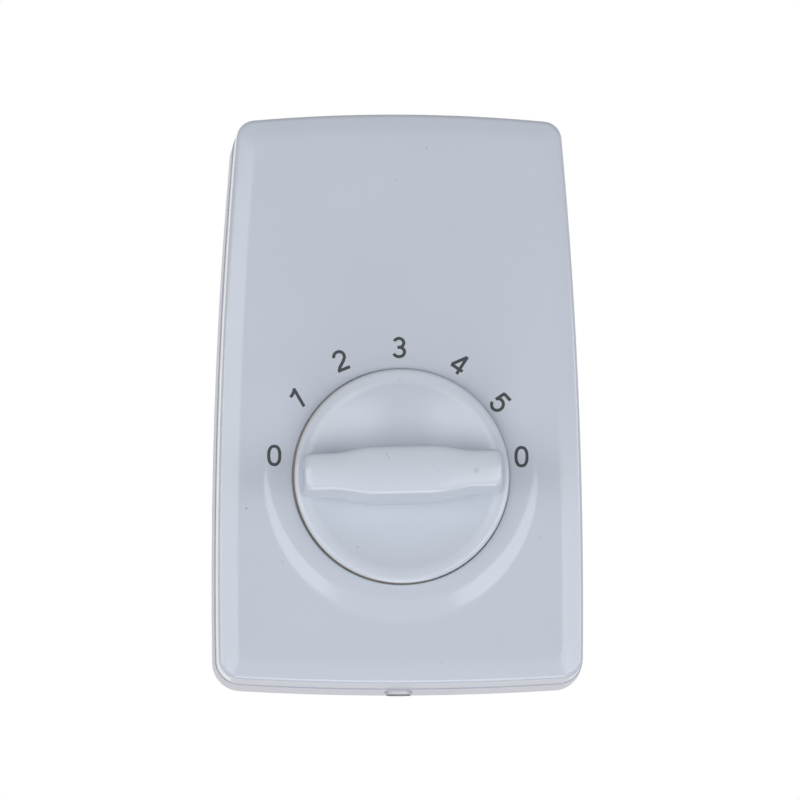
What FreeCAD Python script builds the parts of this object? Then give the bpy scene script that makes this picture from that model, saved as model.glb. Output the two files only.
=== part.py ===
import FreeCAD, Part
import math
import os
import re
import Sketcher
from FreeCAD import Placement, Rotation, Vector

# Surface-mounted five-step regulator for a ceiling fan: a moulded tray on the wall, a tapered
# cover with a rotary knob, and inside it a tapped choke, a rotary switch and a terminal block.
# X is to the right, Z is up the wall and the front faces -Y. A height is a distance from the
# wall along -Y, and the origin is the middle of the tray's back. Lengths are in millimetres.

SIZES = {
    # Outline of the case at the wall: four long arcs joined by corner arcs
    "base_width": 80.0,
    "base_height": 124.0,
    "side_radius": 1090.0,
    "side_widest_z": -34.0,
    "top_radius": 340.0,
    "bottom_radius": 560.0,
    "top_corner": 5.8,
    "bottom_corner": 6.2,
    "draft": 4.0,
    # Tray
    "base_depth": 12.5,
    "base_floor": 2.4,
    "case_wall": 2.2,
    "slot_spacing": 60.3,
    "slot_z": 3.0,
    "slot_width": 4.4,
    "slot_length": 8.0,
    "entry_x": 21.0,
    "entry_lift": 15.0,
    "entry_width": 20.0,
    "entry_height": 13.0,
    "entry_corner": 3.0,
    "back_round": 0.5,
    "cut_over": 1.0,
    # Cover
    "seam_gap": 0.15,
    "seam_inset": 0.2,
    "face_height": 26.0,
    "face_wall": 2.4,
    "edge_band": 4.2,
    "edge_drop": 0.75,
    "edge_round": 0.8,
    "face_blend": 14.0,
    "face_corner": 2.2,
    "lip_depth": 2.0,
    "lip_clear": 0.15,
    "hook_x": 19.0,
    "hook_width": 8.0,
    "hook_thick": 1.6,
    "hook_nib": 1.0,
    "hook_nib_top": 9.6,
    "hook_tip": 7.0,
    "hook_clear": 0.3,
    # Collar round the knob: it grows out of the face below the knob's middle
    "collar_radius": 26.8,
    "collar_flank": 3.2,
    "collar_rise": 0.9,
    "collar_flush": 3.3,
    "collar_sink": 1.8,
    # Well that the knob turns in
    "well_depth": 2.8,
    "well_wall": 1.6,
    "hub_clear": 0.6,
    # Screw that holds the cover, seen from below
    "screw_height": 7.5,
    "screw_radius": 1.5,
    "screw_length": 9.0,
    "screw_clear": 0.2,
    "head_radius": 2.8,
    "head_thick": 1.9,
    "head_sink": 0.7,
    "recess_span": 3.2,
    "recess_slit": 0.7,
    "recess_depth": 1.1,
    "head_crown": 0.5,
    "lug_width": 10.0,
    "lug_deep": 7.5,
    "lug_tip": 4.0,
    "lug_clear": 0.4,
    # Knob: a dished disc with a tall grip bar
    "knob_z": -17.2,
    "knob_radius": 22.65,
    "knob_gap": 0.42,
    "knob_play": 0.12,
    "knob_turn": 1.3,
    "rim_height": 28.6,
    "rim_width": 2.4,
    "rim_round": 1.0,
    "dish_depth": 3.2,
    "knob_wall": 1.8,
    "skirt_foot": 23.6,
    "bar_height": 39.0,
    "bar_length": 41.0,
    "bar_end": 7.4,
    "bar_swell": 1.15,
    "bar_slope": 4.0,
    "bar_corner": 1.4,
    "bar_round": 0.8,
    "arch_radius": 230.0,
    "crown_radius": 16.0,
    "bar_wall": 2.0,
    "dimple_x": 15.0,
    "dimple_z": -0.3,
    "dimple_radius": 0.6,
    "dimple_depth": 0.4,
    "hub_radius": 5.2,
    "hub_foot": 19.4,
    "bore_clear": 0.05,
    # Shaft and its clips
    "shaft_radius": 3.0,
    "shaft_foot": 5.7,
    "shaft_top": 30.0,
    "shaft_end_gap": 0.3,
    "flat_foot": 19.2,
    "flat_offset": 1.75,
    "clip_thick": 0.35,
    "clip_width": 3.4,
    "clip_length": 7.0,
    "clip_clear": 0.08,
    "ring_radius": 4.9,
    "ring_thick": 0.8,
    "ring_clear": 0.1,
    "ring_mouth": 2.6,
    # Rotary switch
    "cup_radius": 17.5,
    "cup_wall": 1.9,
    "cup_floor": 3.0,
    "cup_rim": 14.0,
    "step_angle": 30.0,
    "contact_width": 4.0,
    "contact_thick": 0.6,
    "contact_inner": 11.5,
    "contact_outer": 21.5,
    "tag_reach": 19.7,
    "contact_clear": 0.1,
    "common_ring": 7.5,
    "common_bore": 4.6,
    "wiper_thick": 0.4,
    "wiper_reach": 14.2,
    "wiper_ring": 7.0,
    "wiper_width": 3.0,
    "carrier_radius": 11.0,
    "carrier_thick": 2.4,
    "lug_reach": 13.6,
    "stop_lug": 3.2,
    "stop_inner": 12.0,
    "stop_rib": 3.0,
    "stop_angle": 17.0,
    "star_radius": 9.5,
    "star_notch": 1.5,
    "star_foot": 9.6,
    "star_top": 13.2,
    "spring_thick": 0.35,
    "spring_clear": 0.3,
    "spring_half": 10.2,
    "spring_seat": 11.2,
    "spring_nose": 8.5,
    "nose_half": 1.3,
    "nose_deep": 1.9,
    "plate_thick": 1.2,
    "plate_length": 58.0,
    "plate_width": 14.0,
    "post_x": 25.0,
    "post_radius": 3.4,
    "bush_radius": 4.5,
    "bush_flange": 6.8,
    "bush_flange_thick": 1.0,
    "bush_top": 18.2,
    "rivet_radius": 0.6,
    "rivet_head": 1.4,
    "rivet_head_thick": 0.6,
    "rivet_foot": 9.0,
    "rivet_angle": 45.0,
    # Self-tapping screws of the switch, the choke and the terminal block
    "tap_radius": 1.4,
    "tap_hole": 1.7,
    "tap_head": 2.7,
    "tap_head_thick": 1.6,
    "tap_bite": 6.0,
    "tap_slot": 0.7,
    "pilot_over": 0.3,
    # Choke
    "choke_drop": 30.0,
    "core_size": 42.0,
    "core_stack": 10.0,
    "core_middle": 12.7,
    "core_leg": 7.0,
    "core_tongue": 14.0,
    "bobbin_clear": 0.2,
    "bobbin_wall": 1.0,
    "bobbin_flange": 1.2,
    "bobbin_end": 0.4,
    "coil_build": 2.6,
    "coil_round": 1.8,
    "flange_over": 0.4,
    "tape_thick": 0.2,
    "tape_width": 14.0,
    "choke_post": 3.2,
    # Terminal block
    "block_x": -21.0,
    "block_lift": 14.5,
    "block_width": 24.0,
    "block_deep": 15.0,
    "block_height": 11.0,
    "block_chamfer": 1.0,
    "pole_pitch": 12.0,
    "tube_radius": 2.6,
    "tube_bore": 1.7,
    "tube_height": 5.0,
    "tube_short": 1.0,
    "clamp_radius": 1.5,
    "clamp_pitch": 7.0,
    "clamp_length": 4.2,
    "funnel_radius": 2.1,
    "sink_radius": 3.0,
    "sink_depth": 3.0,
    # Wires
    "wire_radius": 0.6,
    "lead_height": 19.9,
    "lead_pitch": 4.0,
    "lead_start": 2.6,
    "lead_out": 3.0,
    "lead_pass": 2.2,
    "feed_x": 23.5,
    "feed_rise": 15.2,
    "feed_height": 12.0,
    "feed_knee_x": 17.0,
    "feed_knee_height": 19.0,
    "bend_ratio": 0.45,
}

# Places that follow from the sizes: the choke hangs from the case's top edge, and the terminal
# block and the cable entry stand on its bottom edge.
PLACES = {
    "choke_z": "base_height / 2 - choke_drop",
    "block_z": "block_lift - base_height / 2",
    "entry_z": "entry_lift - base_height / 2",
    "feed_z": "knob_z + feed_rise",
    "feed_knee_z": "choke_z - core_size / 2 - lead_out",
}

doc = FreeCAD.newDocument("fan_speed_control")
sheet = doc.addObject("Spreadsheet::Sheet", "sizes")
CELLS = {**SIZES, **{alias: f"={formula}" for alias, formula in PLACES.items()}}
for row, (alias, size) in enumerate(CELLS.items(), 1):
    sheet.set(f"A{row}", alias)
    sheet.set(f"B{row}", str(size))
    sheet.setAlias(f"B{row}", alias)
doc.recompute()

WORD = re.compile(r"[a-z][a-z_0-9]*")
parts = []


def bound(expression):
    """Spell every size in an expression as its cell in the sheet."""
    return WORD.sub(lambda word: f"sizes.{word[0]}" if word[0] in CELLS else word[0], str(expression))


def value(expression):
    """Work an expression out as a number."""
    result = sheet.evalExpression(bound(expression).replace("sizes.", ""))
    return float(getattr(result, "Value", result))


def tie(item, name, expression):
    """Bind a property of an object to the sheet."""
    item.setExpression(name, bound(expression))


def new_body(label):
    """A sub-part that is made feature by feature."""
    body = doc.addObject("PartDesign::Body", label)
    body.Label = label
    parts.append(body)
    return body


def sketch_on(body, name, role, level="0", shift="0"):
    """A sketch on one of the body's own planes, moved along its normal and its second axis."""
    sketch = body.newObject("Sketcher::SketchObject", name)
    plane = next(item for item in body.Origin.OriginFeatures if item.Role == role)
    sketch.AttachmentSupport = [(plane, "")]
    sketch.MapMode = "FlatFace"
    tie(sketch, "AttachmentOffset.Base.z", level)
    tie(sketch, "AttachmentOffset.Base.y", shift)
    return sketch


def wall_sketch(body, name, level):
    """A sketch parallel to the wall: its axes are X and Z, and level is its height."""
    return sketch_on(body, name, "XZ_Plane", level)


def knob_sketch(body, name, level):
    """A sketch parallel to the wall whose origin is on the knob's axis."""
    return sketch_on(body, name, "XZ_Plane", level, "knob_z")


def pin_point(sketch, geometry, point, x, y):
    """Hold a point of a sketch at two expressions."""
    for kind, place in (("DistanceX", x), ("DistanceY", y)):
        index = sketch.addConstraint(Sketcher.Constraint(kind, -1, 1, geometry, point, value(place)))
        tie(sketch, f"Constraints[{index}]", place)


def set_radius(sketch, geometry, radius):
    """Hold a circle's or an arc's radius at an expression."""
    index = sketch.addConstraint(Sketcher.Constraint("Radius", geometry, value(radius)))
    tie(sketch, f"Constraints[{index}]", radius)


def add_circle(sketch, x, y, radius):
    """A circle held at its centre."""
    centre = Vector(value(x), value(y), 0)
    circle = sketch.addGeometry(Part.Circle(centre, Vector(0, 0, 1), value(radius)))
    pin_point(sketch, circle, 3, x, y)
    set_radius(sketch, circle, radius)


def add_outline(sketch, points, arcs=None):
    """A closed outline through points; arcs maps a side's number to its radius, turn and,
    for more than a half circle, True."""
    arcs = arcs or {}
    places = [Vector(value(x), value(y), 0) for x, y in points]
    ends = []
    for side, start in enumerate(places):
        finish = places[(side + 1) % len(places)]
        if side not in arcs:
            line = sketch.addGeometry(Part.LineSegment(start, finish))
            ends.append((line, 1, 2))
            continue
        radius, turn = arcs[side][:2]
        bulge = -1 if len(arcs[side]) > 2 else 1
        first, last = (start, finish) if turn > 0 else (finish, start)
        chord = last - first
        across = Vector(-chord.y, chord.x, 0).normalize()
        reach = math.sqrt(max(value(radius) ** 2 - chord.Length ** 2 / 4, 0))
        centre = first + chord * 0.5 + across * reach * bulge
        angles = [math.atan2(point.y - centre.y, point.x - centre.x) for point in (first, last)]
        if angles[1] < angles[0]:
            angles[1] += 2 * math.pi
        circle = Part.Circle(centre, Vector(0, 0, 1), value(radius))
        arc = sketch.addGeometry(Part.ArcOfCircle(circle, *angles))
        ends.append((arc, 1, 2) if turn > 0 else (arc, 2, 1))
    for side, (geometry, start, finish) in enumerate(ends):
        following = ends[(side + 1) % len(ends)]
        sketch.addConstraint(Sketcher.Constraint("Coincident", geometry, finish, following[0], following[1]))
        pin_point(sketch, geometry, start, *points[side])
        if side in arcs:
            set_radius(sketch, geometry, arcs[side][0])


def add_rectangle(sketch, x, y, width, height):
    """A rectangle about its middle."""
    left, right = f"{x} - ({width}) / 2", f"{x} + ({width}) / 2"
    low, high = f"{y} - ({height}) / 2", f"{y} + ({height}) / 2"
    add_outline(sketch, [(left, low), (right, low), (right, high), (left, high)])


def add_slot(sketch, x, y, width, length):
    """A slot with round ends along the sketch's first axis."""
    radius, reach = f"({width}) / 2", f"(({length}) - ({width})) / 2"
    ends = [(f"{x} + {reach}", -math.pi / 2), (f"{x} - {reach}", math.pi / 2)]
    base = sketch.GeometryCount
    for place, angle in ends:
        centre = Vector(value(place), value(y), 0)
        circle = Part.Circle(centre, Vector(0, 0, 1), value(radius))
        arc = sketch.addGeometry(Part.ArcOfCircle(circle, angle, angle + math.pi))
        pin_point(sketch, arc, 3, place, y)
        set_radius(sketch, arc, radius)
    corners = [sketch.getPoint(base + number, point) for number in (0, 1) for point in (1, 2)]
    sketch.addGeometry(Part.LineSegment(corners[1], corners[2]))
    sketch.addGeometry(Part.LineSegment(corners[3], corners[0]))
    for first, second in ((0, 2), (2, 1), (1, 3), (3, 0)):
        sketch.addConstraint(Sketcher.Constraint("Tangent", base + first, 2, base + second, 1))


def add_case_outline(sketch, inset, corner=None):
    """The case's outline, set in from its size at the wall: four long arcs and four corners."""
    inset = f"({inset})"
    top_corner, bottom_corner = corner or f"top_corner - {inset}", corner or f"bottom_corner - {inset}"
    long_arcs = [
        ("base_width / 2 - side_radius", "side_widest_z", f"side_radius - {inset}"),
        ("0", "base_height / 2 - top_radius", f"top_radius - {inset}"),
        ("side_radius - base_width / 2", "side_widest_z", f"side_radius - {inset}"),
        ("0", "bottom_radius - base_height / 2", f"bottom_radius - {inset}"),
    ]
    corners = [(top_corner, 1, 1), (top_corner, -1, 1), (bottom_corner, -1, -1), (bottom_corner, 1, -1)]
    centres = [Vector(value(x), value(y), 0) for x, y, radius in long_arcs]
    radii = [value(radius) for x, y, radius in long_arcs]
    middles = []
    for number, (corner, right, up) in enumerate(corners):
        after = (number + 1) % 4
        reach, other = radii[number] - value(corner), radii[after] - value(corner)
        apart = centres[after] - centres[number]
        along = (apart.Length ** 2 + reach ** 2 - other ** 2) / (2 * apart.Length)
        off = math.sqrt(reach ** 2 - along ** 2)
        ahead = Vector(apart).normalize()
        side = Vector(-ahead.y, ahead.x, 0)
        found = [centres[number] + ahead * along + side * off * way for way in (1, -1)]
        middles.append(max(found, key=lambda point: point.x * right + point.y * up))
    touches = []
    for number in range(4):
        for middle in (middles[number - 1], middles[number]):
            touches.append(centres[number] + (middle - centres[number]).normalize() * radii[number])
    arcs = []
    for number in range(4):
        start, finish = touches[2 * number], touches[2 * number + 1]
        arcs.append((centres[number], radii[number], start, finish))
        arcs.append((middles[number], value(corners[number][0]), finish, touches[(2 * number + 2) % 8]))
    for centre, radius, start, finish in arcs:
        angles = [math.atan2(point.y - centre.y, point.x - centre.x) for point in (start, finish)]
        if angles[1] < angles[0]:
            angles[1] += 2 * math.pi
        sketch.addGeometry(Part.ArcOfCircle(Part.Circle(centre, Vector(0, 0, 1), radius), *angles))
    base = sketch.GeometryCount - 8
    for number in range(8):
        after = base + (number + 1) % 8
        sketch.addConstraint(Sketcher.Constraint("Tangent", base + number, 2, after, 1))
    for number, (x, y, radius) in enumerate(long_arcs):
        pin_point(sketch, base + 2 * number, 3, x, y)
        set_radius(sketch, base + 2 * number, radius)
        set_radius(sketch, base + 2 * number + 1, corners[number][0])


def extrude(body, kind, sketch, length, reverse=False, taper=None, both=False):
    """A Pad, or a Pocket that has to take something away."""
    before = body.Shape.Volume if kind == "Pocket" else 0
    feature = body.newObject(f"PartDesign::{kind}", f"{sketch.Name}_{kind.lower()}")
    feature.Profile = sketch
    tie(feature, "Length", length)
    feature.Reversed = reverse
    feature.Midplane = both
    if taper:
        tie(feature, "TaperAngle", taper)
    doc.recompute()
    if kind == "Pocket" and not feature.Shape.Volume < before:
        raise ValueError(f"{feature.Name} cuts nothing")
    return feature


def pad(body, sketch, length, **how):
    """Material added along the sketch's normal."""
    return extrude(body, "Pad", sketch, length, **how)


def pocket(body, sketch, length, **how):
    """Material taken away against the sketch's normal."""
    return extrude(body, "Pocket", sketch, length, **how)


def turned(body, name, points, kind="Revolution", arcs=None):
    """A profile of radius and height pairs, turned about the knob's axis."""
    sketch = sketch_on(body, name, "YZ_Plane", shift="knob_z")
    add_outline(sketch, [(f"-({height})", radius) for radius, height in points], arcs)
    feature = body.newObject(f"PartDesign::{kind}", f"{name}_{kind.lower()}")
    feature.Profile = sketch
    feature.ReferenceAxis = (sketch, ["H_Axis"])
    feature.Angle = 360
    doc.recompute()
    return feature


def edges_where(feature, test):
    """Names of the edges whose points all pass a test."""
    names = []
    for number, edge in enumerate(feature.Shape.Edges, 1):
        if not edge.Degenerated and all(test(point) for point in edge.discretize(5)):
            names.append(f"Edge{number}")
    return names


def edges_at(feature, height):
    """Names of the edges that lie at a height."""
    level = -value(height)
    return edges_where(feature, lambda point: abs(point.y - level) < 0.01)


def dress(body, kind, feature, edges, size):
    """A Fillet or Chamfer on chosen edges."""
    dressing = body.newObject(f"PartDesign::{kind}", f"{feature.Name}_{kind.lower()}")
    dressing.Base = (feature, edges)
    tie(dressing, "Radius" if kind == "Fillet" else "Size", size)
    doc.recompute()
    return dressing


def primitive(kind, name, x, z, height, **sizes):
    """A Part primitive that stands on the wall's plane: its own Z is the height."""
    item = doc.addObject(f"Part::{kind}", name)
    for prop, expression in sizes.items():
        tie(item, prop, expression)
    item.Placement = Placement(Vector(), Rotation(Vector(1, 0, 0), 90))
    tie(item, "Placement.Base.x", x)
    tie(item, "Placement.Base.y", f"-({height})")
    tie(item, "Placement.Base.z", z)
    return item


def rod(name, x, z, foot, top, radius):
    """An upright round bar between two heights."""
    return primitive("Cylinder", name, x, z, foot, Radius=radius, Height=f"({top}) - ({foot})")


def block(name, x, z, foot, top, width, deep):
    """An upright bar of rectangular section about x and z."""
    return primitive("Box", name, f"{x} - ({width}) / 2", f"{z} - ({deep}) / 2", foot,
                     Length=width, Width=deep, Height=f"({top}) - ({foot})")


def cut(name, base, tool):
    """One shape less another."""
    item = doc.addObject("Part::Cut", name)
    item.Base = base
    item.Tool = tool
    return item


def join(name, shapes):
    """Several shapes fused to one solid."""
    item = doc.addObject("Part::MultiFuse", name)
    item.Shapes = shapes
    return item


def group(label, shapes):
    """Several separate solids in one sub-part."""
    item = doc.addObject("Part::Compound", label)
    item.Links = shapes
    return finish(item, label)


def finish(item, label):
    """Name a sub-part that is made of primitives."""
    item.Label = label
    parts.append(item)
    return item


DRAFT_AT_SEAM = "base_depth * tan(draft)"
SEAM_HEIGHT = "(base_depth + seam_gap)"
COVER_INSET = f"({DRAFT_AT_SEAM} + seam_inset)"
EDGE_HEIGHT = "(face_height - edge_drop)"
EDGE_INSET = f"({COVER_INSET} + ({EDGE_HEIGHT} - {SEAM_HEIGHT}) * tan(draft))"
TRAY_INSET = f"({DRAFT_AT_SEAM} + case_wall)"
SHELL_INSET = f"({EDGE_INSET} + case_wall)"
WELL_FLOOR = "(face_height - well_depth)"
CORE_FOOT = "(core_middle - core_stack / 2)"
CORE_TOP = "(core_middle + core_stack / 2)"
CORE_HOLE = "(core_size - core_leg) / 2"
CUP_FLOOR = "(base_floor + cup_floor)"
PLATE_TOP = "(cup_rim + plate_thick)"
SCREW_Z = "-base_height / 2 + screw_height * tan(draft)"
SCREW_SEAT = f"({SCREW_Z} + head_sink)"
HOOK_WALL = f"base_height / 2 - {TRAY_INSET} - hook_x ^ 2 / (2 * top_radius)"
LUG_SEAT = f"(-base_height / 2 + {TRAY_INSET} + lug_clear)"


def build_rear_base():
    """Moulded tray with posts for the switch and the choke."""
    body = new_body("rear_base")
    outer = wall_sketch(body, "tray_outline", "0")
    add_case_outline(outer, "0")
    shell = pad(body, outer, "base_depth", taper="-draft")
    dress(body, "Fillet", shell, edges_at(shell, "0"), "back_round")

    inner = wall_sketch(body, "tray_inside", "base_depth")
    add_case_outline(inner, TRAY_INSET)
    pocket(body, inner, "base_depth - base_floor")

    switch_posts = wall_sketch(body, "switch_posts", "base_floor")
    for side in ("-", ""):
        add_circle(switch_posts, f"{side}post_x", "knob_z", "post_radius")
    pad(body, switch_posts, "cup_rim - base_floor")
    choke_posts = wall_sketch(body, "choke_posts", "base_floor")
    for side in ("-", ""):
        for up in ("-", "+"):
            add_circle(choke_posts, f"{side}{CORE_HOLE}", f"choke_z {up} {CORE_HOLE}", "choke_post")
    pad(body, choke_posts, f"{CORE_FOOT} - base_floor")

    switch_pilots = wall_sketch(body, "switch_pilots", "cup_rim")
    for side in ("-", ""):
        add_circle(switch_pilots, f"{side}post_x", "knob_z", "tap_radius")
    pocket(body, switch_pilots, "tap_bite + screw_clear")
    choke_pilots = wall_sketch(body, "choke_pilots", CORE_FOOT)
    for side in ("-", ""):
        for up in ("-", "+"):
            add_circle(choke_pilots, f"{side}{CORE_HOLE}", f"choke_z {up} {CORE_HOLE}", "tap_radius")
    pocket(body, choke_pilots, f"{CORE_FOOT} - base_floor / 2")
    block_pilot = wall_sketch(body, "block_pilot", "base_floor")
    add_circle(block_pilot, "block_x", "block_z", "tap_radius")
    pocket(body, block_pilot, "base_floor * 0.75")

    slots = wall_sketch(body, "box_slots", "base_floor")
    for side in ("-", ""):
        add_slot(slots, f"{side}slot_spacing / 2", "slot_z", "slot_width", "slot_length")
    pocket(body, slots, "base_floor")
    entry = wall_sketch(body, "cable_entry", "base_floor")
    add_rectangle(entry, "entry_x", "entry_z", "entry_width", "entry_height")
    opening = pocket(body, entry, "base_floor")
    half_x, half_z = value("entry_width / 2"), value("entry_height / 2")
    middle = Vector(value("entry_x"), 0, value("entry_z"))
    uprights = edges_where(opening, lambda point: abs(abs(point.x - middle.x) - half_x) < 0.01
                           and abs(abs(point.z - middle.z) - half_z) < 0.01)
    dress(body, "Fillet", opening, uprights, "entry_corner")

    hole = sketch_on(body, "screw_hole", "XY_Plane", "-base_height / 2 + bottom_corner")
    add_circle(hole, "0", "-screw_height", "screw_radius + screw_clear")
    pocket(body, hole, "bottom_corner + cut_over")
    sink = sketch_on(body, "screw_sink", "XY_Plane", f"{SCREW_Z} + head_sink")
    add_circle(sink, "0", "-screw_height", "head_radius + screw_clear")
    pocket(body, sink, "head_sink + 2 * cut_over")

    windows = wall_sketch(body, "hook_windows", "hook_nib_top + hook_clear")
    for side in ("-", ""):
        add_rectangle(windows, f"{side}hook_x", HOOK_WALL, "hook_width + 2 * hook_clear",
                      "2 * (hook_nib + hook_clear)")
    pocket(body, windows, "hook_nib_top - hook_tip + 2 * hook_clear")


def build_front_cover():
    """Tapered shell: rolled face edge, collar, well for the knob, lip, hooks and screw lug."""
    body = new_body("front_cover")
    outer = wall_sketch(body, "cover_outline", SEAM_HEIGHT)
    add_case_outline(outer, COVER_INSET)
    pad(body, outer, f"{EDGE_HEIGHT} - {SEAM_HEIGHT}", taper="-draft")

    edge = wall_sketch(body, "edge_outline", EDGE_HEIGHT)
    add_case_outline(edge, EDGE_INSET)
    face = wall_sketch(body, "face_outline", "face_height")
    add_case_outline(face, f"{EDGE_INSET} + edge_band", "face_corner")
    roll = body.newObject("PartDesign::AdditiveLoft", "face_roll")
    roll.Profile = edge
    roll.Sections = [face]
    roll.Ruled = True
    doc.recompute()
    rounded = dress(body, "Fillet", roll, edges_at(roll, EDGE_HEIGHT), "edge_round")
    dress(body, "Fillet", rounded, edges_at(rounded, "face_height"), "face_blend")

    foot = wall_sketch(body, "collar_foot", "face_height - collar_sink")
    flank = "collar_flank / collar_rise"
    add_circle(foot, "0", "knob_z", f"collar_radius + (collar_rise + collar_sink) * {flank}")
    tilt = "collar_rise / (collar_radius + collar_flush)"
    top = knob_sketch(body, "collar_top", f"face_height + collar_flush * {tilt}")
    top.AttachmentOffset = Placement(top.AttachmentOffset.Base, Rotation(Vector(1, 0, 0), 1))
    tie(top, "AttachmentOffset.Rotation.Angle", f"-atan({tilt})")
    add_circle(top, "0", "0", "collar_radius")
    collar = body.newObject("PartDesign::AdditiveLoft", "collar")
    collar.Profile = foot
    collar.Sections = [top]
    collar.Ruled = True
    doc.recompute()

    cavity = wall_sketch(body, "cover_inside", SEAM_HEIGHT)
    add_case_outline(cavity, SHELL_INSET)
    pocket(body, cavity, f"face_height - face_wall - {SEAM_HEIGHT}", reverse=True)
    shell = wall_sketch(body, "well_shell", f"{WELL_FLOOR} - well_wall")
    add_circle(shell, "-knob_play", "knob_z", "knob_radius + knob_gap + well_wall")
    pad(body, shell, "well_depth + well_wall - face_wall")
    well = wall_sketch(body, "knob_well", "face_height + collar_rise + cut_over")
    add_circle(well, "-knob_play", "knob_z", "knob_radius + knob_gap")
    pocket(body, well, "collar_rise + cut_over + well_depth")
    hole = wall_sketch(body, "hub_hole", WELL_FLOOR)
    add_circle(hole, "0", "knob_z", "hub_radius + hub_clear")
    pocket(body, hole, "well_wall")
    lip = wall_sketch(body, "cover_lip", SEAM_HEIGHT)
    for inset in (f"{TRAY_INSET} + lip_clear", SHELL_INSET):
        add_case_outline(lip, inset)
    pad(body, lip, "lip_depth", reverse=True)
    seat = f"{HOOK_WALL} - hook_clear"
    tabs = wall_sketch(body, "hook_tabs", "hook_tip")
    nibs = wall_sketch(body, "hook_nibs", "hook_tip")
    for side in ("-", ""):
        add_rectangle(tabs, f"{side}hook_x", f"{seat} - hook_thick / 2", "hook_width", "hook_thick")
        add_rectangle(nibs, f"{side}hook_x", f"{seat} + (hook_nib - hook_thick) / 2", "hook_width",
                      "hook_nib + hook_thick")
    pad(body, tabs, f"{SEAM_HEIGHT} - hook_tip + lip_depth")
    pad(body, nibs, "hook_nib_top - hook_tip")
    lug = wall_sketch(body, "screw_lug", "lug_tip")
    add_rectangle(lug, "0", f"{LUG_SEAT} + lug_deep / 2", "lug_width", "lug_deep")
    pad(body, lug, "face_height - face_wall - lug_tip")
    pilot = sketch_on(body, "lug_pilot", "XY_Plane", LUG_SEAT)
    add_circle(pilot, "0", "-screw_height", "screw_radius")
    pocket(body, pilot, f"{SCREW_SEAT} + screw_length + pilot_over - ({LUG_SEAT})", reverse=True)


def build_cover_screw():
    """Pan-head screw with a cross recess, driven upwards through the tray into the cover's lug."""
    shank = upright("screw_shank", "0", SCREW_SEAT, "screw_height", "screw_radius", "screw_length")
    low = f"{SCREW_SEAT} - head_thick"
    head = upright("screw_head", "0", low, "screw_height", "head_radius", "head_thick")
    blank = join("screw_blank", [shank, head])
    rim = doc.addObject("Part::Fillet", "screw_crown")
    rim.Base = blank
    doc.recompute()
    crown = [number for number, edge in enumerate(blank.Shape.Edges, 1)
             if all(abs(vertex.Z - value(low)) < 0.01 for vertex in edge.Vertexes)]
    rim.Edges = [(number, value("head_crown"), value("head_crown")) for number in crown]
    blades = []
    for name, length, width in (("blade_x", "recess_span", "recess_slit"),
                                ("blade_y", "recess_slit", "recess_span")):
        blade = doc.addObject("Part::Box", name)
        tie(blade, "Length", length)
        tie(blade, "Width", width)
        tie(blade, "Height", "recess_depth")
        tie(blade, "Placement.Base.x", f"-({length}) / 2")
        tie(blade, "Placement.Base.y", f"-screw_height - ({width}) / 2")
        tie(blade, "Placement.Base.z", low)
        blades.append(blade)
    finish(cut("cover_screw", rim, join("screw_recess", blades)), "cover_screw")


def bar_outline(sketch, height):
    """The grip bar's plan at a height: round corners, and sides that swell in the middle."""
    grow = f"(bar_height - ({height})) * tan(bar_slope)"
    reach, narrow = f"(bar_length / 2 + {grow})", f"(bar_end / 2 + {grow})"
    run, rise = f"({reach} - bar_corner)", f"({narrow} - bar_corner)"
    waist = f"({narrow} + bar_swell / 2)"
    bend = f"({run} ^ 2 + bar_swell ^ 2) / (4 * bar_swell)"
    points = [(f"-{run}", f"-{narrow}"), (f"-{run} / 2", f"-{waist}"), (f"{run} / 2", f"-{waist}"),
              (run, f"-{narrow}"), (reach, f"-{rise}"), (reach, rise),
              (run, narrow), (f"{run} / 2", waist), (f"-{run} / 2", waist),
              (f"-{run}", narrow), (f"-{reach}", rise), (f"-{reach}", f"-{rise}")]
    sides = {side: (bend, turn) for side, turn in ((0, -1), (1, 1), (2, -1), (6, -1), (7, 1), (8, -1))}
    sides.update({side: ("bar_corner", 1) for side in (3, 5, 9, 11)})
    add_outline(sketch, points, sides)


def turn_knob(body):
    """Turn a finished piece about the knob's axis by the play it rests in."""
    body.Placement = Placement(Vector(), Rotation(Vector(0, -1, 0), 1))
    tie(body, "Placement.Rotation.Angle", "knob_turn")
    tie(body, "Placement.Base.x", "knob_z * sin(knob_turn)")
    tie(body, "Placement.Base.z", "knob_z * (1 - cos(knob_turn))")


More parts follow.
